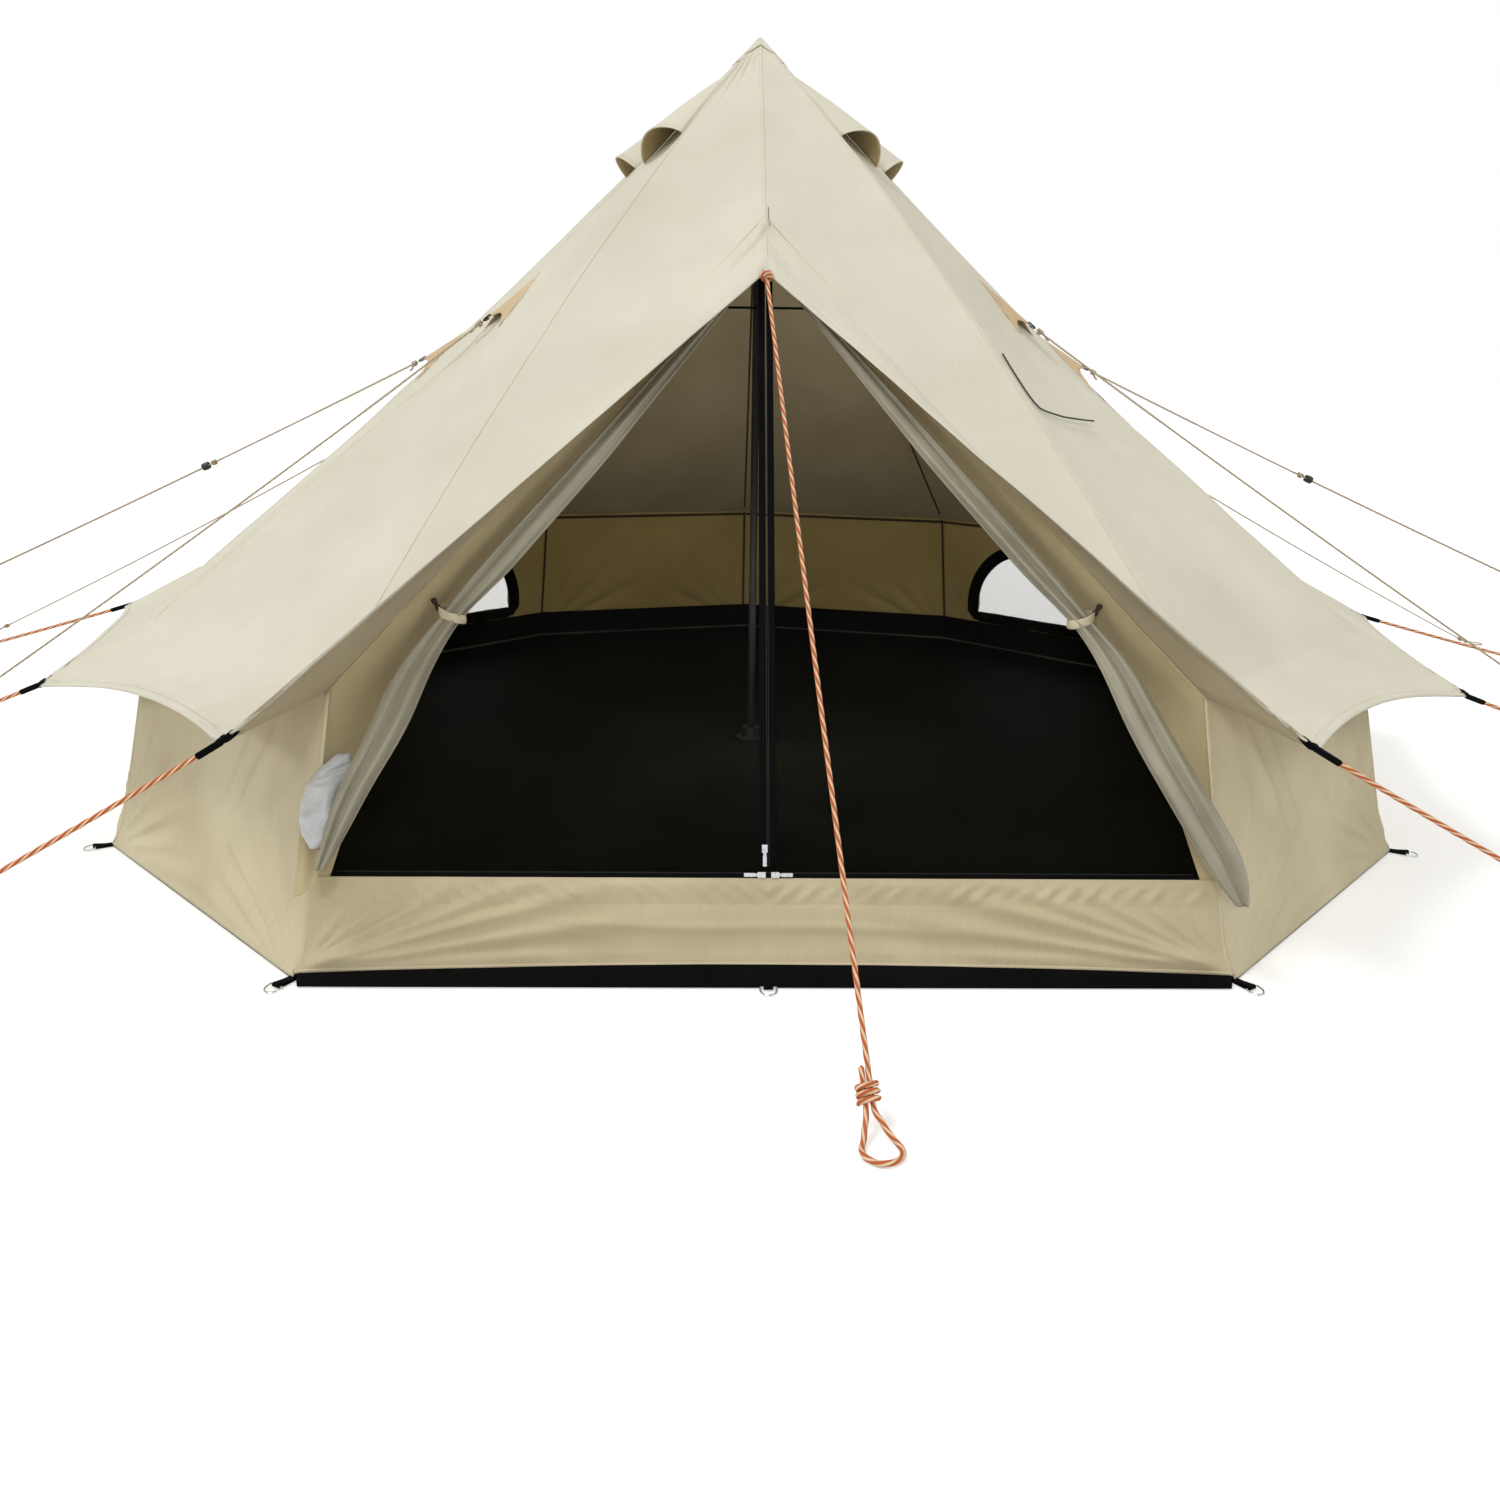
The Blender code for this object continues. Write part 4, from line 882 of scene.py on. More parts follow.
SEAM_TAPE = cotton("seam_tape", (62, 54, 40), (84, 74, 56), thread=0.0016)
SEAM_HALF, SEAM_LIFT, TAPE_HALF = 0.0085, 0.0016, 0.0045
seam_rows = np.concatenate([np.linspace(0.046, 1.0, 90)[:-1], np.linspace(1.0, 1.99, 24)])
strips = np.stack([hip_strip(k, seam_rows, SEAM_HALF, SEAM_LIFT) for k in range(12)])
roof_trims = [sew_on(surface("roof_seams", strips, CREAM, flip=True), 0.0008)]
inner_rows = np.linspace(0.05, 0.985, 80)
hips = np.arange(1, 12)
strips = np.stack([hip_strip(k, inner_rows, TAPE_HALF, -0.0010) for k in hips])
strips = strips - roof_normal(hips[:, None, None] + 0.0, inner_rows[None, :, None]) * 0.0026
roof_trims.append(sew_on(surface("roof_tapes", strips, SEAM_TAPE), 0.0008))

HEM_COUNT, HEM_WIDTH = 640, 0.024
eave_u = np.linspace(0.004, 11.996, HEM_COUNT)
near_eave = roof_at(eave_u, np.full(HEM_COUNT, 2.0)) - roof_at(eave_u, np.full(HEM_COUNT, 1.9))
depth = np.linalg.norm(near_eave, axis=-1) / 0.1
fold = np.linspace(-1, 1, 9)[:, None]
hem_s = 2.0 - HEM_WIDTH * np.abs(fold) ** 0.8 / depth
lift = 0.0011 * np.tanh(6 * fold) - 0.0009
hem_points = roof_cloth(*np.broadcast_arrays(eave_u, hem_s, lift))
roof_trims.append(sew_on(surface("eave_hem", hem_points, CREAM), 0.0009, 1.0))

# %% [markdown]
# ## Webbing on the roof
#
# A tab of black webbing is folded over each eave tip, where the ropes' slings pull. It is the same U as the
# hem, but short and thicker. Above the porch the shade in a narrow slot of the ridge is painted on a thin
# strip.

# %% Webbing at the eave tips and painted shade of the slot above the porch
TAB_DEPTH, TAB_LIFT = 0.026, 0.0036
wrap = np.linspace(-1, 1, 15)[:, None]
tabs = []
for k in range(1, 12):
    reach = np.linalg.norm(hip_at(np.array(k), np.array(2.0)) - hip_at(np.array(k), np.array(1.0)))
    s = 2.0 + 0.004 / reach - TAB_DEPTH * np.abs(wrap) ** 1.2 / reach
    u = k + np.linspace(-0.018, 0.018, 11)[None] / 1.1
    lift = TAB_LIFT * np.tanh(5 * wrap) - 0.0008
    tabs.append(roof_cloth(*np.broadcast_arrays(u, np.minimum(s, 1.9999), lift)))
roof_trims.append(sew_on(surface("eave_tabs", np.stack(tabs), BLACK_WEB), 0.0011, 1.0))

# The black strip is painted shade: it stands for the dark inside of the slot.
slot_shade_strip = hip_strip(0.012, np.linspace(0.895, 0.985, 12), 0.0016, 0.0008, 5)
roof_trims.append(sew_on(surface("ridge_slot_painted_shade", slot_shade_strip, BLACK_WEB, flip=True), 0.0006))

# %% [markdown]
# ## Gussets
#
# An upper rope would tear a flat panel, so a small fin of stronger canvas is sewn to the hip for it to pull.
# The fin could be a cone; a ridge with straight lines down to the roof is nearer to sewn cloth.

# %% Gussets


def gusset_fin(k, tip, share, half=0.12, rise=0.085):
    """A fold of canvas sewn to the hip: straight lines from the ridge down to the roof on both sides.

    v runs from the point uphill, where the ridge meets the roof, to the rope's end, and w from one foot over
    the ridge to the other. The open end is cut back in a curve between the tip and the feet.
    """
    v, w = np.meshgrid(steps(22), np.linspace(-1, 1, 25), indexing="ij")
    v = v * (1 - 0.20 * np.sin(np.pi * np.abs(w)))
    top = roof_cloth(np.array(float(k)), np.array(share - rise))
    ridge = top + (tip - top) * v[..., None]
    foot = roof_cloth(k + half * np.sign(w) * v, share - rise + (rise + 0.012) * v, 0.0004 * v)
    bow = np.abs(w)[..., None] ** 1.25
    return ridge * (1 - bow) + foot * bow


def webbing_loop(tip, back, width=0.0075):
    """A strip of webbing folded over a tip: a narrow U carried sideways, back pointing up the ridge."""
    beside = unit(np.cross([0.0, 0.0, 1.0], back))
    above = np.cross(back, beside)
    above = above if above[2] > 0 else -above
    along = np.array([0.024, 0.016, 0.008, 0.002, -0.0016, -0.0026, -0.0016, 0.002, 0.008, 0.014])
    high = np.array([0.0034, 0.0036, 0.0034, 0.0030, 0.0018, 0.0, -0.0018, -0.0028, -0.0034, -0.0036])
    path = tip + along[:, None] * back + high[:, None] * above
    return path[:, None] + np.linspace(-width, width, 5)[None, :, None] * beside


GUSSET = cotton("gusset_canvas", (196, 172, 136), (222, 200, 166))
fins, loops = [], []
for side in (-1, 1):
    for name, (angle, radius, _) in GUSSETS.items():
        k = side * angle / 30
        tip = gusset_tip(name, side)
        fins.append(gusset_fin(k, tip, radius / WALL_TOP_RADIUS))
        loops.append(webbing_loop(tip, unit(fins[-1][0, 12] - tip)))
roof_trims.append(sew_on(surface("gussets", np.stack(fins), GUSSET), 0.0010))
loops = surface("gusset_webbing", np.stack(loops), BLACK_WEB)
roof_trims.append(sew_on(loops, 0.0012, 0.0))

# %% [markdown]
# ## Apex cap
#
# A small cap covers the place where twelve seams meet. It is the top of the roof once more with its own
# thickness, so it takes the shape of the hips.

# %% Apex cap
CAP_DOWN, CAP_THICK = 0.046, 0.0022
across, down = np.meshgrid(np.arange(96) / 8, np.linspace(0.0, CAP_DOWN, 12))
points = roof_cloth(across, down, np.full(down.shape, CAP_THICK))
points[..., 2] = np.minimum(points[..., 2], APEX + 0.0012)
points[0] = (0.0, 0.0, APEX + 0.0016)
cap = surface("apex_cap_cloth", points, CREAM, wrap=True, flip=True, weld=True)
sew_on(cap, CAP_THICK, 1.0, solid="apex_cap")

# %% [markdown]
# ## Vent hoods
#
# Four hoods keep rain out of the vents. Each is a half funnel, lying flat on the panel at its top and arched
# at its mouth, with a turned edge. It could be a bent cone; a rise added to the roof fits the cloth better.

# %% Vent hoods
# The hoods' inside is darker than the roof's lining: painted shade under the hood.
SHADED_HOOD_INSIDE = cotton("hood_inside", (168, 150, 112), (188, 171, 132))
HOOD_HEIGHT, HOOD_TOP, HOOD_MOUTH, HOOD_GROWTH, HOOD_EDGE = 0.070, 0.090, 0.234, 0.142, 1 / 8


def hood_points(panel):
    """A half funnel over one panel: the rise grows down the slope and arches from side to side."""
    t, s = np.meshgrid(np.linspace(HOOD_EDGE, 1 - HOOD_EDGE, 41), np.linspace(HOOD_TOP, HOOD_MOUTH, 28))
    grow = np.clip((s - HOOD_TOP) / HOOD_GROWTH, 0, 1.02)
    arch = np.clip(np.sin(np.pi * (t - HOOD_EDGE) / (1 - 2 * HOOD_EDGE)), 0, 1)
    rise = 0.0014 + HOOD_HEIGHT * grow**0.8 * arch**0.7
    ends = np.array([HOOD_TOP, HOOD_MOUTH])
    slope = np.subtract(*roof_at(np.full(2, panel + 0.5), ends)[::-1])
    width = roof_at(np.array(panel + 0.999), ends[1]) - roof_at(np.array(panel + 0.001), ends[1])
    out = unit(np.cross(slope, width))
    out = out if out[2] > 0 else -out
    return roof_cloth(panel + t, s) + out * rise[..., None]


for name, panel in (("right_front", 1), ("right_rear", 2), ("left_front", 10), ("left_rear", 9)):
    points = hood_points(panel)
    hood = surface("hood_" + name, points, CREAM, flip=True)
    sew_on(hood, 0.0020, 1.0, SHADED_HOOD_INSIDE, "vent_hood_" + name)
    edge = points[-1]
    inner = unit(points[-4] - edge)
    turned = np.stack([edge + inner * 0.014, edge + inner * 0.001, edge - inner * 0.0006])
    turned = turned + roof_normal(np.array(panel + 0.5), np.array(0.16)) * 0.0026
    binding = surface("hood_binding_" + name, turned, CREAM, flip=True)
    sew_on(binding, 0.0010, 1.0)

# %% [markdown]
# ## Walls
#
# The walls lean in and flare at the foot, where the rings pull them to the ground. Flat panels could be drawn
# one by one; here a radius that depends on the height alone gives each corner, and panels span the corners.

# %% Wall function
HEM_HEIGHT, WALL_HEAD, WALL_FOOT = 0.050, 0.597, 0.004
CORNER_RADIUS, LEAN, FLARE = 1.968, 0.173, 0.467
PANEL, HALF_PANEL_ANGLE = 1.02, np.radians(15)


def wall_radius(z):
    """Radius of the walls' corners at a height: leaning in, with a flare that eases in below the hem line."""
    below = HEM_HEIGHT - np.asarray(z, dtype=float)
    return CORNER_RADIUS + LEAN * below + FLARE * (below + np.sqrt(below**2 + 0.0004)) / 2


def wall_at(angle, z):
    """A point on the flat wall panels between the corners, which are 30 degrees apart."""
    first = np.floor(angle / 30 + 1e-9) * 30
    t = ((angle - first) / 30)[..., None]
    return polar(first, wall_radius(z), z) * (1 - t) + polar(first + 30, wall_radius(z), z) * t


print("wall corner at the foot:", round(float(wall_radius(0.0)), 4))

# %% [markdown]
# ## Folds of the walls
#
# Each foot ring pulls folds out of its corner, and slack cloth hangs in soft folds above them. They are
# ridges on straight rays, added up over the flat panel. The wrinkles stop at the seams, which are taut.

# %% Wall folds


def fan_ridges(along, up, rays, narrow):
    """Folds that a ring pulls out of a corner: soft ridges on straight rays, as angle, length and height."""
    relief = np.zeros_like(along)
    for angle, length, height in rays:
        run = along * np.cos(angle) + up * np.sin(angle)
        off = up * np.cos(angle) - along * np.sin(angle)
        width = narrow * (1 + 3.6 * np.clip(run, 0, None))
        fade = smooth(run, 0.0, 0.09) * (1 - smooth(run, 0.4 * length, length))
        relief = relief + height * np.exp(-((off / width) ** 2)) * fade
    return relief


# Each fold's angle from the ground, its length and its height
WALL_RAYS = [
    (0.10, 0.70, 0.011),
    (0.27, 0.50, 0.013),
    (0.50, 0.62, 0.014),
    (0.80, 0.50, 0.012),
    (1.12, 0.52, 0.011),
    (1.38, 0.44, 0.008),
]
WALL_RAY_WIDTH = 0.010


def wall_folds(angle, z, flat):
    """Outward folds of a slack wall: rays from each foot corner, slanted and upright folds, soft waves."""
    panel = np.floor(angle / 30 + 1e-9)
    t = angle / 30 - panel
    fan = fan_ridges(t * PANEL, z, WALL_RAYS, WALL_RAY_WIDTH)
    fan = fan + 0.9 * fan_ridges((1 - t) * PANEL, z, WALL_RAYS, WALL_RAY_WIDTH)
    slant = 0.23 + (0.42 - z) * 0.55
    slants = bump_at(t, slant, 0.028) + 0.8 * bump_at(t, slant + 0.085, 0.03)
    slants = slants * bump_at(z, 0.34, 0.15) * (panel == 1)
    upright = np.cos(2 * np.pi * (t * 5.3 + 0.9 * z)) * bump_at(z, 0.44, 0.16)
    relief = 1.25 * fan + 0.0150 * slants + 0.0030 * upright
    relief = relief + 0.0035 * waves(flat, 0.34, 8) + 0.0008 * waves(flat, 0.10, 9)
    across = np.clip(4 * t * (1 - t) * 4, 0, 1)
    upward = np.clip(z / HEM_HEIGHT, 0, 1) * np.clip((WALL_HEAD - z) / 0.06, 0, 1)
    return (0.0030 + relief) * across * upward


def wall_cloth(side, angle, z, lift=0.0):
    """The finished wall on one side: the flat panels moved out by their folds."""
    flat = wall_at(angle, z)
    middle = np.floor(angle / 30 + 1e-9) * 30 + 15
    moved = flat + polar(middle, 1.0, 0.05) * (wall_folds(angle, z, flat) + lift)[..., None]
    return moved * [side, 1, 1]


print("folds from each foot corner:", len(WALL_RAYS))

# %% [markdown]
# ## The window's panel
#
# A panel with a half-moon window can't be one plain grid. A boolean cut would leave ragged faces, so this
# one is ring-shaped: rays from inside the window run from its outline to the panel's four edges.

# %% Panel round the window
WINDOW_ANGLE, WINDOW_RADIUS, WINDOW_SILL, WINDOW_EYE = 135, 0.31, 0.165, 0.12


def window_ring(rays=112, rings=14):
    """The window's panel: from a point in the half moon, rays go out from its outline to the panel's edge."""
    tall = WALL_HEAD - HEM_HEIGHT
    lean = float(wall_radius(HEM_HEIGHT) - wall_radius(WALL_HEAD))
    half_low, half_high = wall_radius(np.array([HEM_HEIGHT, WALL_HEAD])) * np.sin(HALF_PANEL_ANGLE)
    rise = np.hypot(tall, lean * np.cos(HALF_PANEL_ANGLE))
    low = -(WINDOW_SILL - HEM_HEIGHT) / tall * rise
    high = low + rise
    corners = np.array([(half_low, low), (half_high, high), (-half_high, high), (-half_low, low)])
    eye = np.array([0.0, WINDOW_EYE])
    looks = np.arctan2(corners[:, 1] - eye[1], corners[:, 0] - eye[0])
    ends = np.arctan2([-WINDOW_EYE, -WINDOW_EYE], [WINDOW_RADIUS, -WINDOW_RADIUS])
    phi = np.sort(np.concatenate([np.linspace(-np.pi, np.pi, rays, endpoint=False), looks, ends]))
    ray = np.stack([np.cos(phi), np.sin(phi)], axis=-1)
    shift = ray @ eye
    inner = -shift + np.sqrt(shift**2 - eye @ eye + WINDOW_RADIUS**2)
    to_sill = WINDOW_EYE / np.maximum(-ray[:, 1], 1e-6)
    inner = np.where(ray[:, 1] < -1e-6, np.minimum(inner, to_sill), inner)
    edges = np.roll(corners, -1, axis=0) - corners
    normals = np.stack([edges[:, 1], -edges[:, 0]], axis=-1)
    facing = ray @ normals.T
    reachable = ((corners - eye) * normals).sum(axis=-1) / np.where(facing > 1e-9, facing, 1e-9)
    outer = np.where(facing > 1e-9, reachable, 1e9).min(axis=1)
    share = steps(rings)[:, None]
    spot = eye + ((inner + (outer - inner) * share)[..., None]) * ray
    z = HEM_HEIGHT + (spot[..., 1] - low) / rise * tall
    half = wall_radius(z) * np.sin(HALF_PANEL_ANGLE)
    angle = WINDOW_ANGLE + 15 * np.clip(spot[..., 0] / half, -1, 1)
    return np.clip(angle, 120.0001, 149.9999), z


print("a window's middle is", WINDOW_ANGLE, "degrees from the door")

# %% [markdown]
# ## Cutting the walls
#
# Each side is sewn from a long front cloth, a back panel, and the window's panel with a hem below it. All
# lie on one wall function, so their edges meet. The front cloth has the finest grid: its folds show most.

# %% Walls
WALL_LINING = cotton("wall_inside", (182, 163, 108), (200, 182, 126))
WALL_THICK = 0.0016
heights = np.concatenate([np.linspace(WALL_FOOT, 0.1, 18)[:-1], np.linspace(0.1, WALL_HEAD, 76)])
front_angles = np.concatenate([np.linspace(30, 60, 211)[:-1], np.linspace(60, 119.9999, 181)])
wall_grids = {
    "wall_canvas": np.meshgrid(front_angles, heights),
    "wall_back": np.meshgrid(np.linspace(150, 179.9999, 61), heights),
    "wall_window": window_ring(),
    "wall_hem": np.meshgrid(np.linspace(120, 149.9999, 60), np.linspace(WALL_FOOT, HEM_HEIGHT, 7)),
}
for side, label in SIDES.items():
    for name, (angle, z) in wall_grids.items():
        ring = name == "wall_window"
        points = wall_cloth(side, angle, z)
        wall = surface(name + "_" + label, points, TAN, wrap=ring, flip=side > 0 if ring else side < 0)
        solid = "wall_" + label if name == "wall_canvas" else None
        sew_on(wall, WALL_THICK, lining=WALL_LINING, solid=solid)

# %% [markdown]
# ## Wall seams
#
# The corners are seams with a flat fold outside and a dark tape inside. A third tape covers the joint between
# walls and roof all the way round. They are strips on the same corner lines as the walls.

# %% Wall seams and tapes
CORNERS = np.arange(30, 181, 30)
heights = np.linspace(0.012, WALL_HEAD - 0.004, 40)
place = np.linspace(-1, 1, 5)[:, None]
strips, tapes = [], []
for corner in np.concatenate([-CORNERS[:-1], CORNERS]):
    turn, out = polar(corner + 90, 1.0, 0.0), polar(corner, 1.0, 0.0)
    line = polar(corner, wall_radius(heights), heights)
    raised = 0.0012 * (1 - place**4) - 0.0018 * np.abs(place)
    strips.append(line[:, None] + place * 0.007 * turn * np.cos(HALF_PANEL_ANGLE) + out * raised)
    inside_line = polar(corner, wall_radius(heights) - 0.0042, heights)
    tapes.append(inside_line[:, None] + place * TAPE_HALF * turn)
wall_trims = [sew_on(surface("wall_seams", np.stack(strips), TAN), 0.0007, 1.0)]
tapes = surface("wall_tapes", np.stack(tapes), SEAM_TAPE, flip=True)
wall_trims.append(sew_on(tapes, 0.0008))

turn = np.linspace(30, 330, 301)
first = np.floor(turn / 30 + 1e-9) * 30
share = ((turn - first) / 30)[None, :, None]
height = np.linspace(0.577, 0.589, 4)[:, None]
radius = wall_radius(height) - 0.0052
joint = polar(first, radius, height) * (1 - share) + polar(first + 30, radius, height) * share
wall_trims.append(sew_on(surface("eave_tape", joint, SEAM_TAPE, flip=True), 0.0010))

# %% [markdown]
# ## Door: sill, jambs and mesh
#
# Below the mesh is a sill of wall canvas, wrinkled by the rings that stretch its corners. The jambs are ruled
# between the mesh's edge and the line where the roof meets the walls. The mesh itself is a fine black net,
# so it is a thin sheet that lets part of the light through.

# %% Door function
SILL_TOP, SILL_HALF, SHOULDER_X = 0.200, 0.930, 0.840
MESH_PEAK, DOOR_PEAK = 1.575, 1.6438
door_foot = float(polar(30, wall_radius(np.array(SILL_TOP)), SILL_TOP)[1])
door_slope = (-RIDGE_RADIUS - door_foot) / (DOOR_PEAK - SILL_TOP)
door_out = unit(np.array([0.0, -1.0, door_slope]))


def door_at(x, z, lift=0.0):
    """A point in the door's plane, which leans back from the sill to the porch, lifted out of the plane."""
    x, z, lift = np.broadcast_arrays(x, z, lift)
    spot = np.stack([x, door_foot + door_slope * (z - SILL_TOP), z], axis=-1)
    return spot + door_out * lift[..., None]


def up_the_door(length):
    """The height of a point that lies at a length up the leaning door from the sill's top."""
    return SILL_TOP + length / np.hypot(1.0, door_slope)


def leaf_edge(z):
    """Half the mesh's width at a height: a little narrower up to the shoulder, then straight to the peak."""
    upper = SHOULDER_X * (MESH_PEAK - z) / (MESH_PEAK - WALL_TOP)
    return np.where(z > WALL_TOP, upper, SILL_HALF - 0.090 * (z - SILL_TOP) / 0.4)


print("the door leans back by", round(float(np.degrees(np.arctan(door_slope))), 1), "degrees")

# %% [markdown]
# ## Sill
#
# The sill's folds run from the two corner rings towards the middle, and short puckers hang from the zip that
# is sewn to its top. Both are ridges added to a flat sheet.

# %% Sill
SILL_TAN = cotton("sill_canvas", (190, 177, 144), (208, 196, 163))
PALE_TAN = cotton("pale_hem", (198, 184, 152), (216, 204, 174))
# Each fold's angle from the ground, its length and its height
SILL_RAYS = [
    (0.035, 0.85, 0.006),
    (0.13, 0.95, 0.011),
    (0.24, 0.80, 0.014),
    (0.34, 0.62, 0.012),
    (0.48, 0.42, 0.010),
    (0.68, 0.28, 0.008),
    (0.95, 0.20, 0.006),
]
SILL_RAY_WIDTH, PUCKERS = 0.006, 27
COS_30 = np.cos(np.radians(30))


def sill_foot(x):
    """Height of the sill's lower edge: lifted a little in the middle, where no ring holds it down."""
    return 0.012 + 0.016 * (1 - x**2)


def sill_relief(x, up):
    """Folds of the sill: rays from both lower corners, short slanted puckers under the zip, soft waves."""
    near, rise = (1 - np.abs(x)) * 0.99, up * 0.18
    fan = fan_ridges(near, rise, SILL_RAYS, SILL_RAY_WIDTH)
    count = np.abs(x) * 21 + 3.4 * (1 - up)
    sizes = np.random.default_rng(5).uniform(0.15, 1.0, PUCKERS)
    which = np.clip(np.floor(count), 0, PUCKERS - 1).astype(int)
    puckers = np.sin(np.pi * np.mod(count, 1.0)) ** 3 * sizes[which] * bump_at(up, 0.82, 0.085)
    flat = np.stack([x, 0 * x, 3.0 * rise], axis=-1)
    rising = up - 0.42 - 0.16 * waves(flat * [1, 1, 0], 0.9, 6)
    pulls = bump_at(rising, 0.0, 0.06) * bump_at(np.abs(x), 0.18, 0.30)
    seam = bump_at(up, 0.69, 0.022)
    return 1.2 * fan + 0.0085 * puckers + 0.0045 * pulls - 0.0010 * seam + 0.0024 * waves(flat, 0.24, 12)


x, up = np.meshgrid(np.linspace(-1, 1, 421), steps(61))
z = sill_foot(x) + (SILL_TOP + 0.008 - sill_foot(x)) * up
wide = wall_radius(z)
points = np.stack([x * wide * 0.5, -wide * COS_30, z], axis=-1)
frame_in = np.clip((1 - np.abs(x)) * 30, 0, 1) * np.clip((1 - up) * 12, 0, 1) * np.clip(up * 8, 0, 1)
points = points + door_out * (0.0006 + (0.002 + sill_relief(x, up)) * frame_in)[..., None]
sill = surface("door_sill", points, SILL_TAN)
sew_on(sill, WALL_THICK, 1.0, WALL_LINING, "door_surround")
band = points[:3] + door_out * 0.0022
sill_hem = sew_on(surface("sill_hem", band, PALE_TAN), 0.0009, 1.0)

# %% [markdown]
# ## Jambs
#
# A jamb is a strip of canvas between the mesh and the roof's front seam. It is ruled, with straight lines
# from one edge to the other, and then softened, because taut cloth has no kink at the door's shoulder.

# %% Jambs
# The jambs' tan is darker than the walls': painted shade from the roof above them.
SHADED_TAN = cotton("jamb_canvas_painted_shade", (184, 169, 130), (202, 188, 150))
JAMB_ROWS, JAMB_COLUMNS = 60, 20
for side, label in SIDES.items():
    t = steps(JAMB_ROWS)[:, None]
    shoulder = door_at(SHOULDER_X, WALL_TOP)
    low = door_at(SILL_HALF, SILL_TOP) * (1 - t) + shoulder * t
    inner = np.concatenate([low, (shoulder * (1 - t) + door_at(0.0, MESH_PEAK) * t)[1:]])
    heights = SILL_TOP + (WALL_HEAD - SILL_TOP) * t[:, 0]
    corner = polar(30, wall_radius(heights), heights) - [0.001, 0, 0]
    line = np.linspace(0.9999, 0.0001, JAMB_ROWS)
    under_roof = roof_cloth(side * line, 1.005 - 0.055 * (1 - line) ** 1.5, np.full(JAMB_ROWS, -0.0012))
    outer = np.concatenate([corner, (under_roof * [side, 1, 1])[1:]])
    w = steps(JAMB_COLUMNS)[None, :, None]
    ruled = inner[:, None] * (1 - w) + outer[:, None] * w
    calm = np.stack([soften(ruled[:, column], 16) for column in range(JAMB_COLUMNS)], axis=1)
    ruled = ruled + (calm - ruled) * np.clip(8 * w * (1 - w), 0, 1)
    down = steps(2 * JAMB_ROWS - 1)[:, None]
    ease = (4 * w * (1 - w))[..., 0] * np.minimum(1, 12 * down) * np.minimum(1, 9 * (1 - down))
    pleat = 0.006 * np.cos(2 * np.pi * (w[..., 0] * 1.6 + 0.1)) * smooth(down, 0.55, 0.7)
    ruled = ruled + door_out * (0.0006 + ease * (0.003 * waves(ruled, 0.3, 15) + pleat + 0.001))[..., None]
    jamb = surface("door_jamb_" + label, ruled * [side, 1, 1], SHADED_TAN, flip=side < 0)
    sew_on(jamb, WALL_THICK, 1.0, WALL_LINING)

# %% [markdown]
# ## Mesh leaves and zips
#
# The door's mesh is two leaves that part at the centre. Net is too fine to model thread by thread, so a leaf
# is a thin sheet that lets light through. The zips do have their teeth: a narrow ridge whose width and
# height swell once every tooth, with the two sides half a tooth apart.

# %% Mesh leaves
ZIP_TEETH = cotton("zip_teeth", (18, 18, 20), (40, 40, 42), roughness=0.45)
black_gauze = {"thread": 0.0018, "roughness": 0.8, "specular": 0.05, "alpha": 0.20}
MESH_BLACK = cotton("black_mesh", (5, 6, 6), (13, 14, 14), **black_gauze)
TOOTH = 0.0058
ZIP_FOOT, ZIP_HEAD, BAR_HEIGHT = 0.2265, MESH_PEAK - 0.032, 1.436
LEAF_FOOT, LEAF_HEAD, LEAF_GAP = up_the_door(0.0205), MESH_PEAK - 0.012, 0.0006


def zip_teeth(along, place, phase=0.0):
    """A row of teeth: how wide it is at a length along the zip, and how high at a place across it."""
    wide = 0.72 + 0.28 * np.cos(2 * np.pi * along / TOOTH + phase)
    return wide, np.sqrt(np.clip(1 - place**2, 0, 1)) * wide


for side, label in SIDES.items():
    w, z = np.meshgrid(steps(60), np.linspace(LEAF_FOOT, LEAF_HEAD, 90))
    x = LEAF_GAP + w * (leaf_edge(z) + 0.004 - LEAF_GAP)
    ripple = (0.0026 * waves(door_at(x * side, z), 0.30, 21) - 0.0026) * np.sin(np.pi * w) ** 0.6
    leaf_points = door_at(x * side, z, ripple - 0.0008)
    place, z = np.meshgrid(steps(5), np.linspace(ZIP_FOOT, ZIP_HEAD, 80))
    tape_points = door_at(side * (0.0030 + 0.0155 * place), z, 0.0010)
    place, z = np.meshgrid(np.linspace(-1, 1, 7), np.linspace(ZIP_FOOT, ZIP_HEAD, 900))
    wide, high = zip_teeth(z, place, np.pi * (side > 0))
    teeth_points = door_at(side * (0.0022 + 0.0016 * place * wide), z, 0.0012 + 0.0015 * high)
    w, up = np.meshgrid(steps(14), np.linspace(-0.003, 0.003, 4))
    reach = leaf_edge(np.array(BAR_HEIGHT)) - 0.024
    bar_points = door_at(side * (0.02 + w * reach), BAR_HEIGHT + up, 0.0012)
    leaf = surface("mesh_leaf_" + label, leaf_points, MESH_BLACK, flip=side < 0)
    tape = surface("zip_tape_" + label, tape_points, BLACK_WEB, flip=side < 0)
    teeth = surface("zip_teeth_" + label, teeth_points, ZIP_TEETH, flip=side < 0)
    bar = surface("mesh_bar_" + label, bar_points, BLACK_WEB, flip=side < 0)
    body = "mesh_" + label
    sew_on(leaf, 0.0008, solid="mesh_door_" + label, body=body)
    for piece, thickness, offset in ((tape, 0.0022, -1.0), (teeth, 0.0006, -1.0), (bar, 0.0010, 1.0)):
        sew_on(piece, thickness, offset, body=body)

# %% [markdown]
# ## Zip along the sill
#
# The lower zip closes the mesh against the sill. It has the same teeth as the centre one, laid sideways just
# above a tape that is sewn to the canvas.

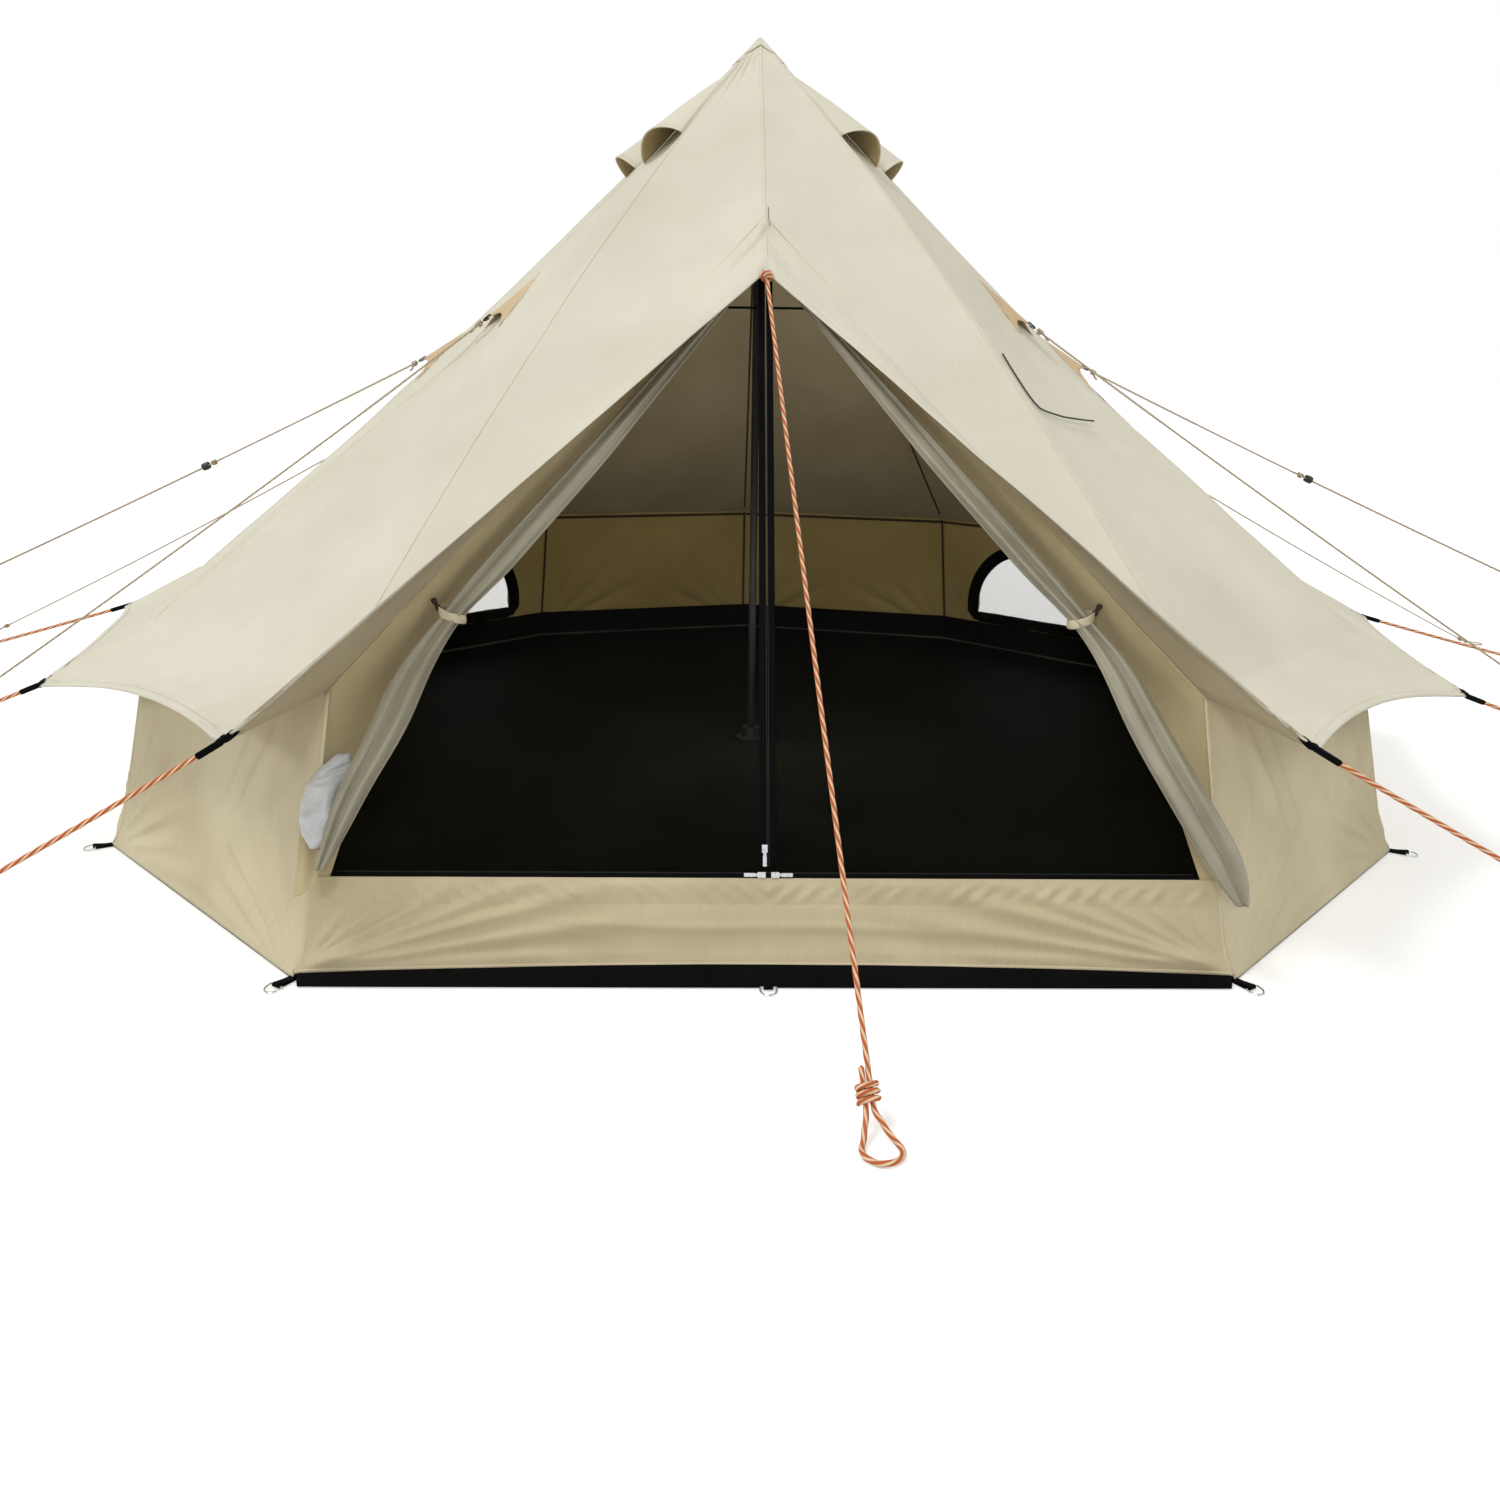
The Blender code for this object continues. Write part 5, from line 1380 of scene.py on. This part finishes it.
# %% Sill zip
SILL_ZIP_HALF, SILL_TEETH_HALF = 0.925, 0.915
x, up = np.meshgrid(np.linspace(-SILL_ZIP_HALF, SILL_ZIP_HALF, 160), np.linspace(0.0072, 0.0165, 5))
sill_tape = surface("sill_tape", door_at(x, up_the_door(up), 0.0008), BLACK_WEB)
sew_on(sill_tape, 0.0026, 1.0, solid="sill_zip")
x, place = np.meshgrid(np.linspace(-SILL_TEETH_HALF, SILL_TEETH_HALF, 1300), np.linspace(-1, 1, 7))
wide, high = zip_teeth(x, place)
points = door_at(x, up_the_door(0.0185 + 0.0018 * place * wide), 0.0010 + 0.0016 * high)
sill_teeth = sew_on(surface("sill_teeth", points, ZIP_TEETH), 0.0006)

# %% [markdown]
# ## Curtains
#
# The outer doors are silver-backed cloth, gathered and tied to the jambs. Each one is a single sheet, and
# down it the bundle narrows to the tie and opens again. Cloth simulation could gather it, but slowly; here
# the bundle's edges and depth are set height by height and then smoothed.

# %% Curtain rails
TIE_HEIGHT, TIE_OUT, TIE_AHEAD = 0.728, -0.0210, 0.0860
# Columns: height, inner and outer edge from the mesh's edge, forward of the door, half depth
CURTAIN_TOP = [
    (1.455, -0.020, 0.006, 0.0150, 0.006),
    (1.300, -0.036, 0.014, 0.0340, 0.014),
    (1.060, -0.060, 0.014, 0.0700, 0.020),
    (0.880, -0.062, 0.016, 0.0870, 0.025),
    (0.800, -0.064, 0.014, 0.0920, 0.026),
    (TIE_HEIGHT, -0.043, 0.001, TIE_AHEAD, 0.022),
]
CURTAIN_LOW = {
    -1: [
        (0.659, -0.067, 0.002, 0.0930, 0.026),
        (0.595, -0.094, -0.012, 0.1100, 0.030),
        (0.540, -0.092, -0.008, 0.1290, 0.032),
        (0.485, -0.080, -0.002, 0.1400, 0.032),
        (0.429, -0.058, 0.010, 0.1480, 0.030),
        (0.368, -0.042, 0.018, 0.1430, 0.027),
        (0.314, -0.027, 0.016, 0.1280, 0.022),
        (0.255, -0.006, 0.016, 0.1060, 0.012),
    ],
    1: [
        (0.659, -0.062, 0.013, 0.0930, 0.026),
        (0.595, -0.092, -0.010, 0.1110, 0.030),
        (0.540, -0.088, 0.002, 0.1290, 0.033),
        (0.483, -0.078, 0.016, 0.1400, 0.034),
        (0.428, -0.061, 0.032, 0.1480, 0.034),
        (0.368, -0.043, 0.048, 0.1430, 0.033),
        (0.315, -0.023, 0.070, 0.1280, 0.030),
        (0.259, -0.003, 0.079, 0.1080, 0.024),
        (0.213, 0.018, 0.077, 0.0860, 0.017),
        (0.188, 0.040, 0.068, 0.0760, 0.008),
    ],
}


def curtain_rails(side, rows=170):
    """Height by height: the bundle's inner and outer edge, its distance from the door and its half depth.

    Each fact is joined by straight lines and then smoothed by a weighted average over 25 rows.
    """
    facts = np.array(CURTAIN_TOP + CURTAIN_LOW[side])
    z = np.linspace(facts[0, 0], facts[-1, 0], rows)
    rails = np.stack([np.interp(-z, -facts[:, 0], facts[:, c]) for c in range(1, 5)], axis=-1)
    rails[:, :2] += leaf_edge(z)[:, None]
    kernel = np.hanning(25) / np.hanning(25).sum()
    padded = np.pad(rails, ((12, 12), (0, 0)), mode="reflect", reflect_type="odd")
    return z, np.stack([np.convolve(padded[:, c], kernel, "valid") for c in range(4)], axis=-1)


print("heights that shape the right curtain:", len(CURTAIN_TOP + CURTAIN_LOW[1]))

# %% [markdown]
# ## Folds of the curtains
#
# Gathered cloth shows a few long rolls in front and hides its pleats behind them. The rolls are an upright
# cosine over an arc, and the pleats swing from edge to edge. Both turn a little on the way down.

# %% Curtain folds
satin = {"roughness": 0.42, "specular": 0.4}
SILVER = cotton("silver_lining", (140, 134, 115), (174, 169, 150), **satin)
FRONT_SHARE = 0.42


def curtain_points(side, columns=150):
    """One gathered sheet: its front is three long rolls with sharp valleys, and the rest is pleated behind.

    a runs over the cloth's width. Over the front share the section is an arc times an upright cosine, and
    after that x swings three times from edge to edge while y steps back, which are the hidden pleats.
    """
    z, rails = curtain_rails(side)
    low, high, ahead, deep = (rails[:, c : c + 1] for c in range(4))
    middle, half = (low + high) / 2, (high - low) / 2
    a = steps(columns)[None]
    front, back = np.clip(a / FRONT_SHARE, 0, 1), np.clip((a - FRONT_SHARE) / (1 - FRONT_SHARE), 0, 1)
    drift = 1.2 * np.sin(2.6 * z[:, None] + 0.6) + side * 0.5
    folds = 0.72 * np.abs(np.cos(2.4 * np.pi * front + 0.5 * drift)) - 0.46
    folds = folds + 0.10 * np.cos(7 * np.pi * front - 2 * drift)
    swell = np.sin(np.pi * front)
    pleats = (1 - 0.2 * smooth(back, 0, 0.2)) * np.cos(3 * np.pi * back)
    x = np.where(a < FRONT_SHARE, -np.cos(np.pi * front), pleats)
    y = np.where(a < FRONT_SHARE, -swell**0.75 * (0.72 + folds), 0.10 + 0.62 * back)
    out = middle + half * x
    spot = door_at(out, np.broadcast_to(z[:, None], out.shape))
    spot[..., 1] += deep * y - ahead
    spot[..., 0] *= side
    return spot


for side, label in SIDES.items():
    curtain = surface("curtain_cloth_" + label, curtain_points(side), SILVER, flip=side > 0)
    sew_on(curtain, 0.0011, 0.0, TAN, "curtain_" + label)

# %% [markdown]
# ## A loose corner
#
# On the left a corner of the curtain has slipped out and shows its bright side, bulging over a canvas flap.
# The bulge could be simulated; here it is a swelling between two edges, with dents from folded-over waves.

# %% Loose corner of the left curtain
foil = {"roughness": 0.36, "specular": 0.5}
BRIGHT_SILVER = cotton("silver_face", (190, 192, 194), (220, 222, 224), **foil)
POUCH_HEIGHTS = np.array([0.462, 0.440, 0.414, 0.380, 0.346, 0.318, 0.303, 0.292])
POUCH_INNER = np.array([0.022, 0.012, 0.006, 0.004, 0.003, 0.004, 0.008, 0.020])
POUCH_OUTER = np.array([0.046, 0.070, 0.086, 0.085, 0.075, 0.062, 0.050, 0.038])


def before_left_jamb(out, z, ahead):
    """A point at a distance out from the left leaf's edge, standing ahead of the door."""
    spot = door_at(leaf_edge(z) + out, z)
    spot[..., 1] -= ahead
    return spot * [-1, 1, 1]


v, w = np.meshgrid(steps(64), steps(48), indexing="ij")
z = POUCH_HEIGHTS[0] - (POUCH_HEIGHTS[0] - POUCH_HEIGHTS[-1]) * v
low = np.interp(-z, -POUCH_HEIGHTS, POUCH_INNER)
high = np.interp(-z, -POUCH_HEIGHTS, POUCH_OUTER)
out = low + (high - low) * w
bulge = 0.036 * np.sin(np.pi * w) ** 0.6 * np.sin(np.pi * np.clip(v, 0, 1)) ** 0.5
flat = np.stack([out, 0 * out, z], axis=-1)
dents = 0.016 * np.abs(waves(flat, 0.070, 61)) + 0.0030 * np.abs(waves(flat, 0.028, 62))
crease = bump_at(v, 0.12 + 0.10 * w, 0.028) + 0.7 * bump_at(v, 0.22 + 0.06 * w, 0.024)
ahead = 0.112 + 0.020 * np.sin(np.pi * v) + bulge - dents - 0.012 * crease * smooth(1 - w, 0.05, 0.5)
pouch = surface("curtain_pouch_left", before_left_jamb(out, z, ahead), BRIGHT_SILVER)
sew_on(pouch, 0.0010, 0.0)

z = 0.340 - (0.117 + 0.021 * w) * v
low = 0.020 - 0.014 * v
out = low + (0.079 - 0.036 * v - low) * w
flat = np.stack([out, 0 * out, z], axis=-1)
ahead = 0.098 + 0.005 * np.cos(2 * np.pi * (w * 1.2 + 0.3 * v)) + 0.002 * waves(flat, 0.06, 63)
# The flap takes the jambs' darker tan, with its painted shade.
flap = surface("curtain_flap_left", before_left_jamb(out, z, ahead), SHADED_TAN)
sew_on(flap, 0.0012, 0.0)

# %% [markdown]
# ## Ties
#
# A band of canvas round the bundle is closed by a turned toggle. The band is a ring that leans a little. The
# toggle is a profile spun round its own axis, waisted where its loop sits.

# %% Ties and toggles
TOGGLE = cotton("turned_toggle", (38, 28, 22), (62, 46, 36), thread=0.004, roughness=0.5)
TIE_RADIUS, TIE_HALF, TOGGLE_HALF, TOGGLE_RADIUS = 0.0275, 0.0100, 0.016, 0.0065
TOGGLE_PLACES = np.array([-1, -0.96, -0.85, -0.3, -0.16, 0.0, 0.16, 0.3, 0.85, 0.96, 1.0])
TOGGLE_GIRTHS = np.array([0, 0.6, 1, 1, 0.72, 0.66, 0.72, 1, 1, 0.6, 0])
neck = door_at(leaf_edge(np.array(TIE_HEIGHT)) + TIE_OUT, TIE_HEIGHT) - [0, TIE_AHEAD, 0]
for side, label in SIDES.items():
    turn = np.linspace(0, 2 * np.pi, 64, endpoint=False)
    up = np.linspace(-1, 1, 9)[:, None]
    radius = TIE_RADIUS + 0.0012 * np.cos(5 * turn + up)[None] - 0.001 * up**2
    lean = 0.010 * np.cos(turn) * side
    ring = np.broadcast_arrays(radius * np.cos(turn), radius * np.sin(turn), TIE_HALF * up + lean)
    band = surface("tie_" + label, neck * [side, 1, 1] + np.stack(ring, axis=-1), TAN, wrap=True)
    sew_on(band, 0.0024, 1.0, solid="tieback_" + label)
    axis = unit(np.array([side * 0.45, -0.15, 0.88]))
    beside = unit(np.cross(axis, [0.0, 1.0, 0.0]))
    above = np.cross(axis, beside)
    along, girth = TOGGLE_PLACES * TOGGLE_HALF, TOGGLE_GIRTHS * TOGGLE_RADIUS
    spin = np.linspace(0, 2 * np.pi, 20, endpoint=False)
    ring = np.cos(spin)[None, :, None] * beside + np.sin(spin)[None, :, None] * above
    centre = neck * [side, 1, 1] + [side * 0.034, -0.006, 0.024]
    points = centre + along[:, None, None] * axis + girth[:, None, None] * ring
    toggle = surface("toggle_" + label, points, TOGGLE, wrap=True, weld=True)
    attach(toggle, "tent")

# %% [markdown]
# ## Windows
#
# Each half-moon window has a white net, a black binding and a cover that is rolled up below it on the
# inside. Net and binding are drawn as flat half moons and laid in the plane of the wall.

# %% Window plane and outline


def window_plane(side):
    """The window's plane: its origin, and the directions across, up and out of the wall."""
    reach = np.cos(HALF_PANEL_ANGLE)
    low = polar(side * WINDOW_ANGLE, wall_radius(np.array(WINDOW_SILL)) * reach, WINDOW_SILL)
    high = polar(side * WINDOW_ANGLE, wall_radius(np.array(0.5)) * reach, 0.5)
    x = polar(side * WINDOW_ANGLE + 90, 1.0, 0.0)
    return low, x, unit(high - low), np.cross(x, unit(high - low))


def half_moon(radius, drop, count=48):
    """A closed half-moon outline: an arc over a straight lower edge that lies drop below its middle."""
    turn = np.linspace(0, np.pi, count)
    arc = np.stack([radius * np.cos(turn), radius * np.sin(turn)], axis=-1)
    t = steps(24)[1:-1, None]
    low = np.array([-radius, -drop]) * (1 - t) + np.array([radius, -drop]) * t
    return np.concatenate([arc, low])


print("points round a half moon:", len(half_moon(1.0, 0.0)))

# %% [markdown]
# ## Bindings, nets and covers
#
# The binding is a flat ring between two half moons. The net is nearly clear, because the daylight behind it
# is what shows. The cover is a spiral carried along the sill, a little uneven, as if rolled by hand.

# %% Window bindings, nets and rolled covers
coated = {"thread": 0.003, "roughness": 0.6, "specular": 0.02}
BLACK_SHEET = cotton("black_sheet", (8, 9, 8), (19, 21, 17), **coated)
white_gauze = {"thread": 0.002, "roughness": 0.8, "alpha": 0.06}
NET_WHITE = cotton("white_net", (228, 228, 224), (246, 246, 242), **white_gauze)
BINDING_INNER, BINDING_WIDTH, BINDING_DROP, NET_RADIUS = 0.309, 0.056, 0.040, 0.308
ROLL_HALF, ROLL_INNER, ROLL_GROWTH, ROLL_TURNS = 0.28, 0.012, 0.0135, 4.2 * np.pi
for side, label in SIDES.items():
    low, x, y, out = window_plane(side)
    share = steps(5)
    rings = np.stack([half_moon(BINDING_INNER + BINDING_WIDTH * w, BINDING_DROP * w) for w in share])
    puff = 0.0014 * np.sin(np.pi * share)[:, None, None]
    points = low + rings[..., :1] * x + rings[..., 1:] * y - (0.0050 + puff) * out
    trim = surface("window_binding_" + label, points, BLACK_WEB, wrap=True)
    sew_on(trim, 0.0022, 0.0, solid="window_trim_" + label)
    share = steps(14)[:, None, None]
    rings = half_moon(NET_RADIUS, 0.0) * share + np.array([0.0, WINDOW_EYE]) * (1 - share)
    puff = 0.004 * (1 - share**2)
    points = low + rings[..., :1] * x + (rings[..., 1:] + 0.0006) * y + (puff - 0.0015) * out
    net = surface("window_screen_" + label, points, NET_WHITE, wrap=True, weld=True)
    sew_on(net, 0.0006, 0.0, solid="window_net_" + label)
    turn, along = np.linspace(0, ROLL_TURNS, 90), np.linspace(-ROLL_HALF, ROLL_HALF, 40)[:, None, None]
    radius = (ROLL_INNER + ROLL_GROWTH * turn / turn[-1])[None]
    radius = radius * (1 + 0.03 * waves(along * [1, 0, 0], 0.12, 31))
    roll = low - 0.012 * y - 0.0325 * out + along * x
    roll = roll + (radius * np.cos(turn))[..., None] * y + (radius * np.sin(turn))[..., None] * out
    cover = surface("window_cover_" + label, roll, BLACK_SHEET)
    sew_on(cover, 0.0012, 0.0, solid="window_flap_" + label)

# %% [markdown]
# ## Floor and foot
#
# The groundsheet is a heavy black sheet whose edge stands up inside the walls as a lip. Black webbing runs
# round the foot, with a loop at each corner for its ring.

# %% Groundsheet and lip
RING_ANGLES = np.array([-150, -120, -90, -60, -30, 30, 60, 90, 120, 150, 180])
SHEET_RADIUS, LIP_RADIUS, LIP_BEND, LIP_TOP = 1.949, 1.953, 0.05, 0.115
SHEET_THICK = 0.0014


def foot_ring(radius, z, per_side=24):
    """Points round the foot at a corner radius and a height, with the two door corners joined straight."""
    corners = polar(RING_ANGLES, radius, z)
    t = np.linspace(0, 1, per_side, endpoint=False)[None, :, None]
    return (corners[:, None] * (1 - t) + np.roll(corners, -1, axis=0)[:, None] * t).reshape(-1, 3)


rings = np.stack([foot_ring(SHEET_RADIUS * w, 0.0) for w in steps(60)])
away = np.clip((np.linalg.norm(rings, axis=-1) - 0.08) / 0.2, 0, 1)
ruck = 0.0012 + 0.0010 * waves(rings, 0.5, 41) + 0.0006 * waves(rings, 0.16, 42)
rings[..., 2] = 0.0022 + ruck * away
ground = surface("floor_sheet", rings, BLACK_SHEET, wrap=True, flip=True, weld=True)
sew_on(ground, SHEET_THICK, solid="groundsheet")

heights = np.concatenate([np.linspace(0.0005, LIP_BEND, 6), np.linspace(0.06, LIP_TOP, 6)])
lean = wall_radius(np.array(LIP_TOP)) - 0.0038 - LIP_RADIUS
radii = LIP_RADIUS + lean * np.maximum(heights - LIP_BEND, 0) / (LIP_TOP - LIP_BEND)
lip_points = np.stack([foot_ring(radius, height) for radius, height in zip(radii, heights)])
lip = surface("floor_edge", lip_points, BLACK_SHEET, wrap=True)
sew_on(lip, SHEET_THICK, solid="floor_lip")

# %% [markdown]
# ## Painted highlight at the lip's foot
#
# A grey line shows where the lip meets the floor: a thin bead, half round, that follows the same outline. Its
# grey is a painted highlight on the fold between floor and lip.

# %% Painted highlight at the lip's foot
# The bead's grey is a painted highlight on the fold where the floor meets the lip.
FOLD_HIGHLIGHT = cotton("painted_fold_highlight", (58, 60, 60), (92, 94, 94), roughness=0.5)
spin = np.linspace(0, np.pi, 7)
BEAD_RADIUS, BEAD = 1.948, 0.0045
bead = np.stack([foot_ring(BEAD_RADIUS - BEAD * np.sin(a), 0.0060 + BEAD * np.cos(a), 40) for a in spin])
fold_highlight = sew_on(surface("floor_fold_highlight", bead, FOLD_HIGHLIGHT, wrap=True), 0.0008, 1.0)

# %% [markdown]
# ## Foot webbing and threshold
#
# Webbing runs round the foot to take the pull of the rings. At the door a wider black strip slopes from the
# sill to the ground, so that feet don't catch. It is ruled between the sill's foot and a straight front.

# %% Webbing at the foot
band = np.stack([foot_ring(radius, 0.0023) for radius in (1.961, 1.980, 1.998)])
webbing = surface("foot_webbing", band, BLACK_WEB, wrap=True, flip=True)
sew_on(webbing, SHEET_THICK, solid="base_webbing")

x, t = np.meshgrid(np.linspace(-1, 1, 240), steps(14))
back_z = sill_foot(x) + 0.001 + 0.003 * (1 - x**2)
back_y = -COS_30 * wall_radius(back_z) + 0.0020
FRONT_Y, FRONT_Z = -1.7635, 0.0016
half = 0.978 + 0.012 * t
y = FRONT_Y + (back_y - FRONT_Y) * t**1.5
curve = np.stack([x * half, y, FRONT_Z + (back_z - FRONT_Z) * t**0.75], axis=-1)
ruck = 0.0012 * (1 + waves(curve, 0.22, 44)) * np.sin(np.pi * t)
curve = curve + np.array([0.0, -0.35, 0.94]) * ruck[..., None]
threshold = sew_on(surface("threshold", curve, BLACK_WEB), 0.0014, 1.0)

# %% [markdown]
# ## Straps
#
# A strap is one strip of webbing that goes out from the foot, round the straight bar of its ring and back.
# Its path is a straight run, a little over half a turn, and a straight run above the first.

# %% Ring straps
BASE_RADIUS, STRAP_HALF = 2.0, 0.010
bend = np.linspace(-0.3, np.pi + 0.3, 12)
reach = np.concatenate([[-0.030, 0.0, 0.030], 0.0385 + 0.0042 * np.sin(bend), [0.030, 0.012, -0.005]])
height = np.concatenate([[0.0014, 0.0014, 0.0014], 0.0058 - 0.0042 * np.cos(bend), [0.0085, 0.0058, 0.0050]])
straps = []
for angle in np.append(RING_ANGLES, 0):
    base = polar(angle, BASE_RADIUS, 0.0) if angle else np.array([0.0, -1.732, 0.0])
    out, side_on = polar(angle, 1.0, 0.0), polar(angle + 90, 1.0, 0.0)
    path = base + reach[:, None] * out + height[:, None] * [0.0, 0.0, 1.0]
    straps.append(path[:, None] + np.linspace(-STRAP_HALF, STRAP_HALF, 5)[None, :, None] * side_on)
straps = sew_on(surface("ring_straps", np.stack(straps), BLACK_WEB), 0.0012, 0.0)

# %% [markdown]
# ## Steel, powder coat and plastic
#
# The rigid parts keep their solids, so they only need finishes. Steel wire is bright and slightly brushed,
# the pole has a satin black coat with a fine grain, and the runners on the doubled ropes are moulded.

# %% Finishes for the rigid parts


def grained(name, dark, light, roughness, metallic, scale, depth):
    """A hard finish: noise on the object's coordinates varies the tone, the gloss and a shallow bump."""
    look, tree, shader = blank(name, roughness, metallic)
    place = tree.nodes.new("ShaderNodeTexCoord")
    grain = node(tree, "ShaderNodeTexNoise", Scale=scale, Detail=4.0, Roughness=0.6)
    tree.links.new(place.outputs["Object"], grain.inputs["Vector"])
    tint(tree, shader, grain.outputs["Fac"], [(0.35, dark), (0.65, light)])
    gloss = node(tree, "ShaderNodeMapRange", To_Min=roughness - 0.06, To_Max=roughness + 0.08)
    tree.links.new(grain.outputs["Fac"], gloss.inputs["Value"])
    tree.links.new(gloss.outputs["Result"], shader.inputs["Roughness"])
    emboss(tree, shader, grain.outputs["Fac"], 0.3, depth)
    return look


STEEL = grained("bright_steel", (176, 178, 180), (214, 216, 218), 0.26, 1.0, 260.0, 0.0002)
POWDER = grained("black_powder_coat", (16, 17, 18), (30, 31, 33), 0.45, 0.0, 900.0, 0.0002)
MOULDED = grained("moulded_black", (18, 18, 19), (34, 34, 36), 0.5, 0.0, 500.0, 0.0003)
RIGID = {"pole": POWDER, "ring": STEEL, "slider": STEEL, "runner": MOULDED}
finished = 0
for name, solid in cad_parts.items():
    look = RIGID.get(name.split("_")[0])
    if look is not None:
        for place in solid.material_slots:
            place.material = look
        finished += 1
print("rigid parts finished:", finished)
